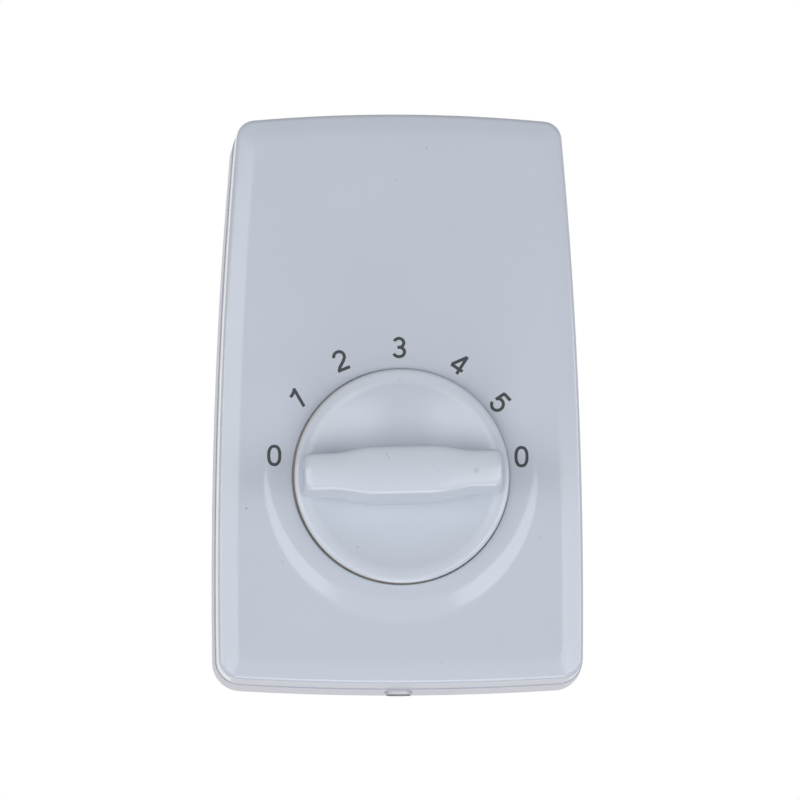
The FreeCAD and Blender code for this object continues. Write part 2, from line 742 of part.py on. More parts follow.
def build_control_knob():
    """Hollow dished disc, grip bar with a crowned top, hub with a flatted bore."""
    body = new_body("control_knob")
    rim, inside = "(knob_radius - rim_width)", "(knob_radius - knob_wall)"
    dish = "rim_height - dish_depth"
    points = [("0", dish), (rim, "rim_height"), ("knob_radius", "rim_height"), ("knob_radius", "skirt_foot"),
              (inside, "skirt_foot"), (inside, "rim_height - knob_wall"), ("0", f"{dish} - knob_wall")]
    bowl = {0: (f"({rim} ^ 2 + dish_depth ^ 2) / (2 * dish_depth)", 1),
            5: (f"({inside} ^ 2 + dish_depth ^ 2) / (2 * dish_depth)", -1)}
    disc = turned(body, "knob_disc", points, arcs=bowl)
    dress(body, "Fillet", disc, edges_at(disc, "rim_height"), "rim_round")

    foot_height, top_height = f"({dish} - knob_wall / 2)", "(bar_height + cut_over)"
    foot = knob_sketch(body, "bar_foot", foot_height)
    bar_outline(foot, foot_height)
    top = knob_sketch(body, "bar_top", top_height)
    bar_outline(top, top_height)
    bar = body.newObject("PartDesign::AdditiveLoft", "grip_bar")
    bar.Profile = foot
    bar.Sections = [top]
    bar.Ruled = True

    crown = sketch_on(body, "bar_crown", "YZ_Plane", shift="knob_z")
    tie(crown, "AttachmentOffset.Base.x", "arch_radius - bar_height")
    half, sag = "bar_end", "(crown_radius - sqrt(crown_radius ^ 2 - bar_end ^ 2))"
    add_outline(crown, [(f"-arch_radius + {sag}", f"-{half}"), (f"-arch_radius + {sag}", half),
                        (f"-arch_radius - 2 * {sag}", half), (f"-arch_radius - 2 * {sag}", f"-{half}")],
                {0: ("crown_radius", -1)})
    groove = body.newObject("PartDesign::Groove", "bar_crown_groove")
    groove.Profile = crown
    groove.ReferenceAxis = (crown, ["V_Axis"])
    tie(groove, "Angle", "3 * asin(bar_length / 2 / arch_radius)")
    groove.Midplane = True
    doc.recompute()
    low = -value("bar_height - bar_wall")
    brim = edges_where(groove, lambda point: point.y < low)
    dress(body, "Fillet", groove, brim, "bar_round")
    dimple = knob_sketch(body, "dimple", "bar_height + cut_over")
    add_circle(dimple, "dimple_x", "dimple_z", "dimple_radius")
    pocket(body, dimple, "cut_over + dimple_x ^ 2 / (2 * arch_radius) + dimple_depth")

    hollow = knob_sketch(body, "bar_hollow", "hub_foot")
    length = "(bar_length / 2 - bar_wall - hub_radius)"
    for side in ("-", ""):
        add_rectangle(hollow, f"{side}(hub_radius + {length} / 2)", "0", length, "bar_end - 2 * bar_wall")
    pocket(body, hollow, "bar_height - 2 * bar_wall - hub_foot", reverse=True)
    hub = knob_sketch(body, "hub", "hub_foot")
    add_circle(hub, "0", "0", "hub_radius")
    pad(body, hub, f"{dish} - knob_wall / 2 - hub_foot")
    bore = knob_sketch(body, "bore", "hub_foot")
    radius, flat = "(shaft_radius + bore_clear)", "(flat_offset + clip_thick + 2 * clip_clear)"
    half = f"sqrt({radius} ^ 2 - {flat} ^ 2)"
    add_outline(bore, [(f"-{half}", f"-{flat}"), (half, f"-{flat}")], {1: (radius, 1, True)})
    pocket(body, bore, "shaft_top + shaft_end_gap - hub_foot", reverse=True)
    turn_knob(body)

    clip = new_body("knob_clip")
    leaf = knob_sketch(clip, "clip_leaf", "hub_foot + ring_clear")
    add_rectangle(leaf, "0", "-(flat_offset + clip_clear + clip_thick / 2)", "clip_width", "clip_thick")
    pad(clip, leaf, "clip_length")
    turn_knob(clip)


def build_shaft():
    """Steel shaft with a flat for the knob, and the ring that keeps it in its bush."""
    body = new_body("switch_shaft")
    round_bar = knob_sketch(body, "shaft_round", "shaft_foot")
    add_circle(round_bar, "0", "0", "shaft_radius")
    pad(body, round_bar, "shaft_top - shaft_foot")
    flat = knob_sketch(body, "shaft_flat", "shaft_top")
    add_rectangle(flat, "0", "-flat_offset - shaft_radius / 2", "2 * shaft_radius + cut_over", "shaft_radius")
    pocket(body, flat, "shaft_top - flat_foot")

    ring = new_body("shaft_clip")
    outline = knob_sketch(ring, "ring_outline", "bush_top + ring_clear")
    add_circle(outline, "0", "0", "ring_radius")
    add_circle(outline, "0", "0", "shaft_radius")
    pad(ring, outline, "ring_thick")
    mouth = knob_sketch(ring, "ring_mouth_cut", "bush_top + ring_clear + ring_thick")
    add_outline(mouth, radial("0", "ring_radius + cut_over", "270", "ring_mouth"))
    pocket(ring, mouth, "ring_thick")


def radial(inner, outer, angle, width):
    """Corners of a bar that points away from the axis at an angle, between two radii."""
    half = f"({width}) / 2"
    corners = []
    for reach, side in ((inner, "-"), (outer, "-"), (outer, "+"), (inner, "+")):
        across = "+" if side == "-" else "-"
        corners.append((f"({reach}) * cos({angle}) {across} {half} * sin({angle})",
                        f"({reach}) * sin({angle}) {side} {half} * cos({angle})"))
    return corners


STEPS = [f"step_angle * {number}" for number in range(1, 6)]
CONTACT_TOP = f"({CUP_FLOOR} + contact_thick)"
WIPER_FOOT = f"({CONTACT_TOP} + contact_clear)"
CARRIER_FOOT = f"({WIPER_FOOT} + wiper_thick)"
CUP_INSIDE = "(cup_radius - cup_wall)"
RIVET_RING = "(cup_radius - cup_wall / 2)"


def build_switch_rotor():
    """Moulded rotor: carrier with a stop lug, and a star wheel with a notch for each step."""
    body = new_body("switch_rotor")
    disc = knob_sketch(body, "carrier", CARRIER_FOOT)
    add_circle(disc, "0", "0", "carrier_radius")
    pad(body, disc, "carrier_thick")
    lug = knob_sketch(body, "stop_lug_bar", CARRIER_FOOT)
    add_outline(lug, radial("carrier_radius / 2", "lug_reach", "180", "stop_lug"))
    pad(body, lug, "carrier_thick")
    star = knob_sketch(body, "star", CARRIER_FOOT)
    add_circle(star, "0", "0", "star_radius")
    pad(body, star, f"star_top - {CARRIER_FOOT}")
    notches = knob_sketch(body, "star_notches", "star_top")
    for number in range(round(360 / SIZES["step_angle"])):
        angle = f"step_angle * {number}"
        add_circle(notches, f"star_radius * cos({angle})", f"star_radius * sin({angle})", "star_notch")
    pocket(body, notches, "star_top - star_foot")
    bore = knob_sketch(body, "rotor_bore", "star_top")
    add_circle(bore, "0", "0", "shaft_radius")
    pocket(body, bore, f"star_top - {CARRIER_FOOT}")

    wiper = new_body("switch_wiper")
    ring = knob_sketch(wiper, "wiper_plate", WIPER_FOOT)
    add_circle(ring, "0", "0", "wiper_ring")
    pad(wiper, ring, "wiper_thick")
    arm = knob_sketch(wiper, "wiper_arm", WIPER_FOOT)
    add_outline(arm, radial("shaft_radius", "wiper_reach", "0", "wiper_width"))
    pad(wiper, arm, "wiper_thick")
    hole = knob_sketch(wiper, "wiper_hole", CARRIER_FOOT)
    add_circle(hole, "0", "0", "shaft_radius")
    pocket(wiper, hole, "wiper_thick")


def build_switch_body():
    """Moulded cup with windows for the contacts, stops for the rotor and rivet holes."""
    body = new_body("switch_body")
    outside = knob_sketch(body, "cup_outside", "base_floor")
    add_circle(outside, "0", "0", "cup_radius")
    pad(body, outside, "cup_rim - base_floor")
    inside = knob_sketch(body, "cup_inside", "cup_rim")
    add_circle(inside, "0", "0", CUP_INSIDE)
    pocket(body, inside, f"cup_rim - {CUP_FLOOR}")
    stops = knob_sketch(body, "cup_stops", CARRIER_FOOT)
    for angle in ("stop_angle", "180 - stop_angle"):
        add_outline(stops, radial("stop_inner", "cup_radius - cup_wall / 2", f"({angle})", "stop_rib"))
    pad(body, stops, f"cup_rim - {CARRIER_FOOT}")
    windows = knob_sketch(body, "cup_windows", f"{CONTACT_TOP} + contact_clear")
    for angle in STEPS + ["270"]:
        add_outline(windows, radial(f"{CUP_INSIDE} - 3 * contact_clear", "cup_radius + cut_over", angle,
                                    "contact_width + 2 * contact_clear"))
    pocket(body, windows, "contact_thick + contact_clear")
    holes = knob_sketch(body, "cup_rivet_holes", "cup_rim")
    for angle in ("(180 + rivet_angle)", "(-rivet_angle)"):
        add_circle(holes, f"{RIVET_RING} * cos({angle})", f"{RIVET_RING} * sin({angle})", "rivet_radius")
    pocket(body, holes, "cup_rim - rivet_foot + pilot_over")


def build_contacts():
    """Five brass blades with solder tags, the common ring, and the click spring."""
    blades = new_body("fixed_contacts")
    blades.AllowCompound = True
    outline = knob_sketch(blades, "blades", CUP_FLOOR)
    for angle in STEPS:
        add_outline(outline, radial("contact_inner", "contact_outer", angle, "contact_width"))
    pad(blades, outline, "contact_thick")

    common = new_body("common_contact")
    ring = knob_sketch(common, "common_plate", CUP_FLOOR)
    add_circle(ring, "0", "0", "common_ring")
    pad(common, ring, "contact_thick")
    tag = knob_sketch(common, "common_tag", CUP_FLOOR)
    add_outline(tag, radial("common_bore", "contact_outer", "270", "contact_width"))
    pad(common, tag, "contact_thick")
    hole = knob_sketch(common, "common_hole", CONTACT_TOP)
    add_circle(hole, "0", "0", "common_bore")
    pocket(common, hole, "contact_thick")

    spring = new_body("detent_spring")
    leaf = knob_sketch(spring, "spring_leaf", "star_foot + spring_clear")
    bend = "(spring_nose + nose_deep)"
    points = [("-spring_half", "-spring_seat"), ("-nose_half", f"-{bend}"), ("0", "-spring_nose"),
              ("nose_half", f"-{bend}"), ("spring_half", "-spring_seat"),
              ("spring_half", "-spring_seat - spring_thick"),
              ("nose_half - spring_thick / 2", f"-{bend} - spring_thick"),
              ("0", "-spring_nose - 1.8 * spring_thick"),
              ("-nose_half + spring_thick / 2", f"-{bend} - spring_thick"),
              ("-spring_half", "-spring_seat - spring_thick")]
    add_outline(leaf, points)
    pad(spring, leaf, "star_top - star_foot - 2 * spring_clear")


def build_switch_mounting():
    """Steel plate that closes the cup and carries the bush, with its rivets and screws."""
    plate = new_body("switch_plate")
    disc = knob_sketch(plate, "plate_disc", "cup_rim")
    add_circle(disc, "0", "0", "cup_radius")
    pad(plate, disc, "plate_thick")
    strip = knob_sketch(plate, "plate_strip", "cup_rim")
    add_slot(strip, "0", "0", "plate_width", "plate_length")
    pad(plate, strip, "plate_thick")
    holes = knob_sketch(plate, "plate_holes", PLATE_TOP)
    add_circle(holes, "0", "0", "bush_radius")
    for side in ("-", ""):
        add_circle(holes, f"{side}post_x", "0", "tap_hole")
    rivets = []
    for number, angle in enumerate(("(180 + rivet_angle)", "(-rivet_angle)"), 1):
        x, z = f"{RIVET_RING} * cos({angle})", f"{RIVET_RING} * sin({angle})"
        add_circle(holes, x, z, "rivet_radius")
        shank = rod(f"rivet_shank_{number}", x, f"knob_z + {z}", "rivet_foot", PLATE_TOP, "rivet_radius")
        head = rod(f"rivet_head_{number}", x, f"knob_z + {z}", PLATE_TOP, f"{PLATE_TOP} + rivet_head_thick",
                   "rivet_head")
        rivets.append(join(f"rivet_{number}", [shank, head]))
    pocket(plate, holes, "plate_thick")
    group("switch_rivets", rivets)

    bush = new_body("switch_bush")
    bore = "shaft_radius + bore_clear"
    flange = f"{PLATE_TOP} + bush_flange_thick"
    turned(bush, "bush_form", [(bore, "cup_rim"), ("bush_radius", "cup_rim"), ("bush_radius", PLATE_TOP),
                               ("bush_flange", PLATE_TOP), ("bush_flange", flange), ("bush_radius", flange),
                               ("bush_radius", "bush_top"), (bore, "bush_top")])
    screws = [tapping_screw(f"switch_screw_{number}", f"{side}post_x", "knob_z", PLATE_TOP,
                            "tap_bite + plate_thick") for number, side in enumerate(("-", ""), 1)]
    group("switch_screws", screws)


def tapping_screw(name, x, z, seat, length):
    """A slotted self-tapping screw whose head sits at a height."""
    shank = rod(f"{name}_shank", x, z, f"{seat} - ({length})", seat, "tap_radius")
    head = rod(f"{name}_head", x, z, seat, f"{seat} + tap_head_thick", "tap_head")
    slot = block(f"{name}_slot", x, z, f"{seat} + tap_head_thick - tap_slot", f"{seat} + tap_head_thick",
                 "2 * tap_head + cut_over", "tap_slot")
    return cut(name, join(f"{name}_blank", [shank, head]), slot)


WINDOW = "(core_size - 2 * core_leg)"
BOBBIN_LENGTH = f"({WINDOW} - 2 * bobbin_end)"
BOBBIN_FOOT = f"(choke_z - {BOBBIN_LENGTH} / 2)"
TUBE_WIDTH = "(core_tongue + 2 * (bobbin_clear + bobbin_wall))"
TUBE_DEPTH = "(core_stack + 2 * (bobbin_clear + bobbin_wall))"


def add_rounded(sketch, x, y, width, height, radius):
    """A rectangle about its middle with round corners."""
    half, rise = f"({width}) / 2", f"({height}) / 2"
    near, low = f"({half} - ({radius}))", f"({rise} - ({radius}))"
    places = [("+", near, "-", rise), ("+", half, "-", low), ("+", half, "+", low), ("+", near, "+", rise),
              ("-", near, "+", rise), ("-", half, "+", low), ("-", half, "-", low), ("-", near, "-", rise)]
    points = [(f"{x} {right} {across}", f"{y} {up} {along}") for right, across, up, along in places]
    add_outline(sketch, points, {side: (radius, 1) for side in (0, 2, 4, 6)})


def build_choke():
    """Tapped choke: laminated E and I cores, bobbin, winding, tape and four screws."""
    half, tongue = "core_size / 2", "core_tongue / 2"
    inner, yoke, foot = f"({half} - core_leg)", f"choke_z + {half} - core_leg", f"choke_z - {half} + core_leg"
    e_core = new_body("choke_e_core")
    outline = wall_sketch(e_core, "e_outline", CORE_FOOT)
    add_outline(outline, [(f"-{half}", foot), (f"-{inner}", foot), (f"-{inner}", yoke), (f"-{tongue}", yoke),
                          (f"-{tongue}", foot), (tongue, foot), (tongue, yoke), (inner, yoke), (inner, foot),
                          (half, foot), (half, f"choke_z + {half}"), (f"-{half}", f"choke_z + {half}")])
    i_core = new_body("choke_i_core")
    bar = wall_sketch(i_core, "i_outline", CORE_FOOT)
    add_rectangle(bar, "0", f"choke_z - {half} + core_leg / 2", "core_size", "core_leg")
    screws = []
    for up, sketch in (("+", outline), ("-", bar)):
        for side in ("-", ""):
            x, z = f"{side}{CORE_HOLE}", f"choke_z {up} {CORE_HOLE}"
            add_circle(sketch, x, z, "tap_hole")
            screws.append(tapping_screw(f"choke_screw_{len(screws) + 1}", x, z, CORE_TOP,
                                        f"{CORE_TOP} - base_floor - pilot_over"))
    pad(e_core, outline, "core_stack")
    pad(i_core, bar, "core_stack")
    group("choke_screws", screws)

    bobbin = new_body("choke_bobbin")
    tube = sketch_on(bobbin, "bobbin_tube", "XY_Plane", BOBBIN_FOOT)
    add_rectangle(tube, "0", "-core_middle", TUBE_WIDTH, TUBE_DEPTH)
    pad(bobbin, tube, BOBBIN_LENGTH)
    over = "2 * (coil_build + flange_over)"
    for name, level in (("flange_low", BOBBIN_FOOT),
                        ("flange_high", f"{BOBBIN_FOOT} + {BOBBIN_LENGTH} - bobbin_flange")):
        flange = sketch_on(bobbin, name, "XY_Plane", level)
        add_rectangle(flange, "0", "-core_middle", f"{TUBE_WIDTH} + {over}", f"{TUBE_DEPTH} + {over}")
        pad(bobbin, flange, "bobbin_flange")
    hole = sketch_on(bobbin, "bobbin_hole", "XY_Plane", f"{BOBBIN_FOOT} + {BOBBIN_LENGTH}")
    add_rectangle(hole, "0", "-core_middle", f"{TUBE_WIDTH} - 2 * bobbin_wall",
                  f"{TUBE_DEPTH} - 2 * bobbin_wall")
    pocket(bobbin, hole, BOBBIN_LENGTH)

    coil_width, coil_depth = f"({TUBE_WIDTH} + 2 * coil_build)", f"({TUBE_DEPTH} + 2 * coil_build)"
    winding = new_body("choke_winding")
    turns = sketch_on(winding, "winding_section", "XY_Plane", f"{BOBBIN_FOOT} + bobbin_flange")
    add_rounded(turns, "0", "-core_middle", coil_width, coil_depth, "coil_round")
    add_rectangle(turns, "0", "-core_middle", TUBE_WIDTH, TUBE_DEPTH)
    pad(winding, turns, f"{BOBBIN_LENGTH} - 2 * bobbin_flange")
    tape = new_body("choke_tape")
    wrap = sketch_on(tape, "tape_section", "XY_Plane", "choke_z - tape_width / 2")
    add_rounded(wrap, "0", "-core_middle", f"{coil_width} + 2 * tape_thick", f"{coil_depth} + 2 * tape_thick",
                "coil_round + tape_thick")
    add_rounded(wrap, "0", "-core_middle", coil_width, coil_depth, "coil_round")
    pad(tape, wrap, "tape_width")


def upright(name, x, z, height, radius, length):
    """A round bar that runs up the wall from z."""
    item = doc.addObject("Part::Cylinder", name)
    tie(item, "Radius", radius)
    tie(item, "Height", length)
    tie(item, "Placement.Base.x", x)
    tie(item, "Placement.Base.y", f"-({height})")
    tie(item, "Placement.Base.z", z)
    return item


TUBE_HEIGHT = "(base_floor + tube_height)"
BLOCK_TOP = "(base_floor + block_height)"
CLAMP_FOOT = f"({TUBE_HEIGHT} + wire_radius)"
POLES = ["(block_x - pole_pitch / 2)", "(block_x + pole_pitch / 2)"]


def build_terminals():
    """Two-pole terminal block with brass tubes, clamp screws and its own fixing screw."""
    body = new_body("terminal_block")
    outline = wall_sketch(body, "block_outline", "base_floor")
    add_rectangle(outline, "block_x", "block_z", "block_width", "block_deep")
    solid = pad(body, outline, "block_height")
    dress(body, "Chamfer", solid, edges_at(solid, BLOCK_TOP), "block_chamfer")
    ways = sketch_on(body, "block_ways", "XY_Plane", "block_z + block_deep / 2")
    funnels = wall_sketch(body, "block_funnels", BLOCK_TOP)
    tubes, clamps = [], []
    for pole in POLES:
        number = len(tubes) + 1
        add_circle(ways, pole, f"-{TUBE_HEIGHT}", "tube_radius")
        length, low = "(block_deep - tube_short)", "block_z - (block_deep - tube_short) / 2"
        wall = upright(f"tube_wall_{number}", pole, low, TUBE_HEIGHT, "tube_radius", length)
        drills = [upright(f"tube_bore_{number}", pole, low, TUBE_HEIGHT, "tube_bore", length)]
        for side in ("-", "+"):
            z = f"block_z {side} clamp_pitch / 2"
            add_circle(funnels, pole, z, "funnel_radius")
            name = f"clamp_{len(clamps) + 1}"
            drills.append(rod(f"{name}_hole", pole, z, TUBE_HEIGHT, f"{TUBE_HEIGHT} + tube_radius",
                              "clamp_radius"))
            clamp = rod(f"{name}_rod", pole, z, CLAMP_FOOT, f"{CLAMP_FOOT} + clamp_length", "clamp_radius")
            slot = block(f"{name}_slot", pole, z, f"{CLAMP_FOOT} + clamp_length - tap_slot",
                         f"{CLAMP_FOOT} + clamp_length", "2 * clamp_radius + cut_over", "tap_slot")
            clamps.append(cut(name, clamp, slot))
        tubes.append(cut(f"tube_{number}", wall, join(f"tube_drills_{number}", drills)))
    pocket(body, ways, "block_deep")
    pocket(body, funnels, "block_height - tube_height")
    sink = wall_sketch(body, "block_sink", BLOCK_TOP)
    add_circle(sink, "block_x", "block_z", "sink_radius")
    pocket(body, sink, "sink_depth")
    hole = wall_sketch(body, "block_hole", BLOCK_TOP)
    add_circle(hole, "block_x", "block_z", "tap_hole")
    pocket(body, hole, "block_height")
    group("terminal_tubes", tubes)
    group("terminal_screws", clamps)
    screw = tapping_screw("block_screw", "block_x", "block_z", f"({BLOCK_TOP} - sink_depth)",
                          "block_height - sink_depth + base_floor / 2")
    finish(screw, "block_screw")


def lead(points):
    """An insulated wire along straight runs joined by arcs as large as the runs allow."""
    places = [Vector(value(x), -value(height), value(z)) for x, z, height in points]
    radius = value("wire_radius")
    edges = []
    start = places[0]
    for before, here, after in zip(places, places[1:], places[2:]):
        back, ahead = (before - here), (after - here)
        turn = math.pi - back.getAngle(ahead)
        reach = value("bend_ratio") * min(back.Length, ahead.Length)
        first, last = here + back.normalize() * reach, here + ahead.normalize() * reach
        inward = (back + ahead).normalize()
        bend = reach / math.tan(turn / 2)
        middle = here + inward * (math.hypot(reach, bend) - bend)
        edges += [Part.LineSegment(start, first).toShape(), Part.Arc(first, middle, last).toShape()]
        start = last
    edges.append(Part.LineSegment(start, places[-1]).toShape())
    path = Part.Wire(edges)
    section = Part.Wire(Part.makeCircle(radius, places[0], places[1] - places[0]))
    solid = path.makePipeShell([section], True, False)
    if abs(solid.Volume / (math.pi * radius ** 2 * path.Length) - 1) > 0.01:
        raise ValueError("a lead's volume differs from its length")
    return solid


def build_leads():
    """Leads from the choke's taps to the switch, and from the terminals to both."""
    taps = []
    for number, angle in enumerate(reversed(STEPS)):
        x = f"(lead_pitch * {number - 2})"
        tag_x, tag_z = f"tag_reach * cos({angle})", f"(knob_z + tag_reach * sin({angle}))"
        taps.append(lead([(x, BOBBIN_FOOT, "lead_height"), (x, "choke_z - core_size / 2", "lead_height"),
                          (tag_x, tag_z, "cup_rim"), (tag_x, tag_z, CONTACT_TOP)]))
    ways = doc.addObject("Part::Feature", "tap_leads")
    ways.Shape = Part.makeCompound(taps)
    finish(ways, "tap_leads")

    tip, out = "block_z + clamp_pitch / 2", "block_z + block_deep / 2 + lead_out"
    beside, pass_height = "-(cup_radius + lead_pass)", f"{TUBE_HEIGHT} + lead_pass / 2"
    start = "-lead_pitch * 2 - lead_start"
    feed = [(POLES[0], tip, TUBE_HEIGHT), (POLES[0], f"{out} + lead_out", TUBE_HEIGHT),
            (beside, "knob_z - post_radius - lead_out", pass_height),
            (beside, "knob_z + post_radius", pass_height),
            ("-feed_x", "feed_z", "feed_height"), ("-feed_knee_x", "feed_knee_z", "feed_knee_height"),
            (start, f"{BOBBIN_FOOT} - lead_out", "lead_height"), (start, BOBBIN_FOOT, "lead_height")]
    common_z = "knob_z - tag_reach"
    drop = [(POLES[1], tip, TUBE_HEIGHT), (POLES[1], out, TUBE_HEIGHT),
            ("0", common_z, f"{CONTACT_TOP} + 2 * lead_out"), ("0", common_z, CONTACT_TOP)]
    ways = doc.addObject("Part::Feature", "mains_leads")
    ways.Shape = Part.makeCompound([lead(feed), lead(drop)])
    finish(ways, "mains_leads")


build_rear_base()
build_front_cover()
build_cover_screw()
build_control_knob()
build_shaft()
build_switch_rotor()
build_switch_body()
build_contacts()
build_switch_mounting()
build_choke()
build_terminals()
build_leads()
doc.recompute()
for item in doc.Objects:
    if {"Invalid", "Error"} & set(item.State):
        raise ValueError(f"{item.Name} failed: {item.State}")
os.makedirs("parts", exist_ok=True)
for part in parts:
    if part.Shape.isNull() or not part.Shape.isValid():
        raise ValueError(f"{part.Label} has no valid shape")
    part.Shape.exportStep(os.path.join("parts", part.Label + ".step"))
    print(part.Label, len(part.Shape.Solids), round(part.Shape.Volume, 1))
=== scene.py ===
import math
import bmesh
import bpy
from mathutils import Matrix, Vector


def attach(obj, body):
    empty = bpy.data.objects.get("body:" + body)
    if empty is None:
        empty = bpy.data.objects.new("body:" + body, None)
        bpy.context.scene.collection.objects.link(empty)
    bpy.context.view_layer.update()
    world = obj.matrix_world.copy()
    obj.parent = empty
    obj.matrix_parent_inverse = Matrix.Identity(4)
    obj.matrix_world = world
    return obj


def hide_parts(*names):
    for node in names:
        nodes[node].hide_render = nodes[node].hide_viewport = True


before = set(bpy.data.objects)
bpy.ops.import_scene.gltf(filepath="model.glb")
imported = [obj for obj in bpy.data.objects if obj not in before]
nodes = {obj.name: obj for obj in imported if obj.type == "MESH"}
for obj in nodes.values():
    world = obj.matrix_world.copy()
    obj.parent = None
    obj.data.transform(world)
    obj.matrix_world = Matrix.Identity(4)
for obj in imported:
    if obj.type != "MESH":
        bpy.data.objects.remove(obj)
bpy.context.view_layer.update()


# Rear base
# A shallow tray that is screwed to the wall box and carries everything else. It is injection-moulded in
# white ABS like the cover, and shows as a thin band behind it on the left and along the bottom.
MM = 0.001
WELD = 1e-6
DIAL_Z = -17.2
SPECK_TONE = "#5c5e64"
SPECK_CORE = 0.4
# The brown tone on the groove round the dial
GROOVE_TONE = "#a2957f"


def linear(hex_colour):
    """An sRGB hex colour as linear red, green, blue and alpha."""
    parts = [int(hex_colour[place:place + 2], 16) / 255 for place in (1, 3, 5)]
    return [part / 12.92 if part <= 0.04045 else ((part + 0.055) / 1.055) ** 2.4 for part in parts] + [1.0]


def per_mm(size):
    """The texture scale whose features are about this many millimetres across."""
    return 1000 / size


def add(material, kind, links=None, **settings):
    """One node with its settings; links maps a socket to a value or to another node's output."""
    node = material.node_tree.nodes.new(f"ShaderNode{kind}")
    for name, setting in settings.items():
        setattr(node, name, setting)
    for socket, source in (links or {}).items():
        if isinstance(source, bpy.types.NodeSocket):
            material.node_tree.links.new(source, node.inputs[socket])
        else:
            node.inputs[socket].default_value = source
    return node


def new_finish(name, metallic, ior):
    """An empty material with its shader, and the coordinates that its patterns read."""
    material = bpy.data.materials.new(name)
    material.use_nodes = True
    shader = material.node_tree.nodes["Principled BSDF"]
    shader.inputs["Metallic"].default_value = metallic
    shader.inputs["IOR"].default_value = ior
    return material, shader, add(material, "TexCoord").outputs["Object"]


def join_to(material, output, shader, socket):
    """Leads a node's output into the material's shader."""
    material.node_tree.links.new(output, shader.inputs[socket])


def moulded_abs(name, light, dark, gloss, marks=(), groove_tint=None):
    """Glossy ABS with the faintest clouding and orange peel. Marks are specks by place, size and depth of
    tone, and the groove tint is a brown tone on a groove round the dial, by its two radii and two heights."""
    material, shader, place = new_finish(name, 0.0, 1.54)
    clouds = add(material, "TexNoise", {"Vector": place, "Scale": per_mm(22), "Detail": 3.0})
    tones = {0: clouds.outputs["Fac"], 6: linear(dark), 7: linear(light)}
    colour = add(material, "Mix", tones, data_type="RGBA").outputs[2]
    parts = add(material, "SeparateXYZ", {0: place})
    flat = add(material, "CombineXYZ", {0: parts.outputs[0], 2: parts.outputs[2]}).outputs[0]
    for x, z, size, depth in marks:
        off = add(material, "VectorMath", {0: flat, 1: (x * MM, 0, z * MM)}, operation="DISTANCE")
        near = add(material, "MapRange", {"Value": off.outputs["Value"], 1: SPECK_CORE * size * MM,
                                          2: size * MM, 3: depth, 4: 0.0})
        tones = {0: near.outputs[0], 6: colour, 7: linear(SPECK_TONE)}
        colour = add(material, "Mix", tones, data_type="RGBA").outputs[2]
    # A brown tone in the groove round the dial: full at and below its floor, fading out up its wall and
    # outward across the hole's edge.
    if groove_tint:
        inner, outer, top, floor = (size * MM for size in groove_tint)
        off = add(material, "VectorMath", {0: flat, 1: (0, 0, DIAL_Z * MM)}, operation="DISTANCE")
        within = add(material, "MapRange", {"Value": off.outputs["Value"], 1: inner, 2: outer,
                                            3: 1.0, 4: 0.0})
        sunk = add(material, "MapRange", {"Value": parts.outputs[1], 1: -top, 2: -floor})
        tinted = add(material, "Math", {0: within.outputs[0], 1: sunk.outputs[0]}, operation="MULTIPLY")
        tones = {0: tinted.outputs[0], 6: colour, 7: linear(GROOVE_TONE)}
        colour = add(material, "Mix", tones, data_type="RGBA").outputs[2]
    join_to(material, colour, shader, "Base Color")
    wipe = add(material, "TexNoise", {"Vector": place, "Scale": per_mm(7), "Detail": 4.0})
    sheen = add(material, "MapRange", {"Value": wipe.outputs["Fac"], 3: gloss[0], 4: gloss[1]})
    join_to(material, sheen.outputs[0], shader, "Roughness")
    peel = add(material, "TexNoise", {"Vector": place, "Scale": per_mm(1.6), "Detail": 1.0})
    bump = add(material, "Bump", {"Height": peel.outputs["Fac"], "Strength": 0.03, "Distance": 0.2 * MM})
    join_to(material, bump.outputs[0], shader, "Normal")
    return material


def smooth_by_angle(mesh, degrees):
    """Smooth faces, with a sharp edge wherever the surface turns by more than an angle."""
    limit = math.radians(degrees)
    for face in mesh.faces:
        face.smooth = True
    for edge in mesh.edges:
        edge.smooth = edge.calc_face_angle(0.0) < limit


def place_piece(name, mesh, material, body, slot, *replaced):
    """Hands a finished bmesh to the scene as a piece that rides on a body."""
    data = bpy.data.meshes.new(name)
    mesh.to_mesh(data)
    mesh.free()
    data.materials.append(material)
    piece = bpy.data.objects.new(name, data)
    bpy.context.scene.collection.objects.link(piece)
    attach(piece, body)
    if replaced:
        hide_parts(*replaced)
    return piece


def smoothed_copy(name, node, material, body, slot):
    """The node's own form with its facets joined, so that round walls shade as round."""
    mesh = bmesh.new()
    mesh.from_mesh(nodes[node].data)
    bmesh.ops.remove_doubles(mesh, verts=mesh.verts, dist=WELD)
    bmesh.ops.dissolve_degenerate(mesh, edges=mesh.edges, dist=WELD)
    smooth_by_angle(mesh, 28)
    piece = place_piece(name, mesh, material, body, slot, node)
    weigh = piece.modifiers.new("weighted_normals", "WEIGHTED_NORMAL")
    weigh.keep_sharp = True
    weigh.weight = 80
    return piece


base_abs = moulded_abs("moulded_abs_base", "#bbbcca", "#b6b7c5", (0.29, 0.35))
smoothed_copy("base_tray", "rear_base", base_abs, "housing", "base_plastic")


# Terminal block
# Two brass tubes in a natural polyamide moulding, each with two zinc-plated clamp screws. A single tapping
# screw holds it to the tray's floor beside the cable entry.

def dress(material, *names):
    """Gives CAD nodes that are kept as they are their material."""
    for name in names:
        nodes[name].data.materials.clear()
        nodes[name].data.materials.append(material)


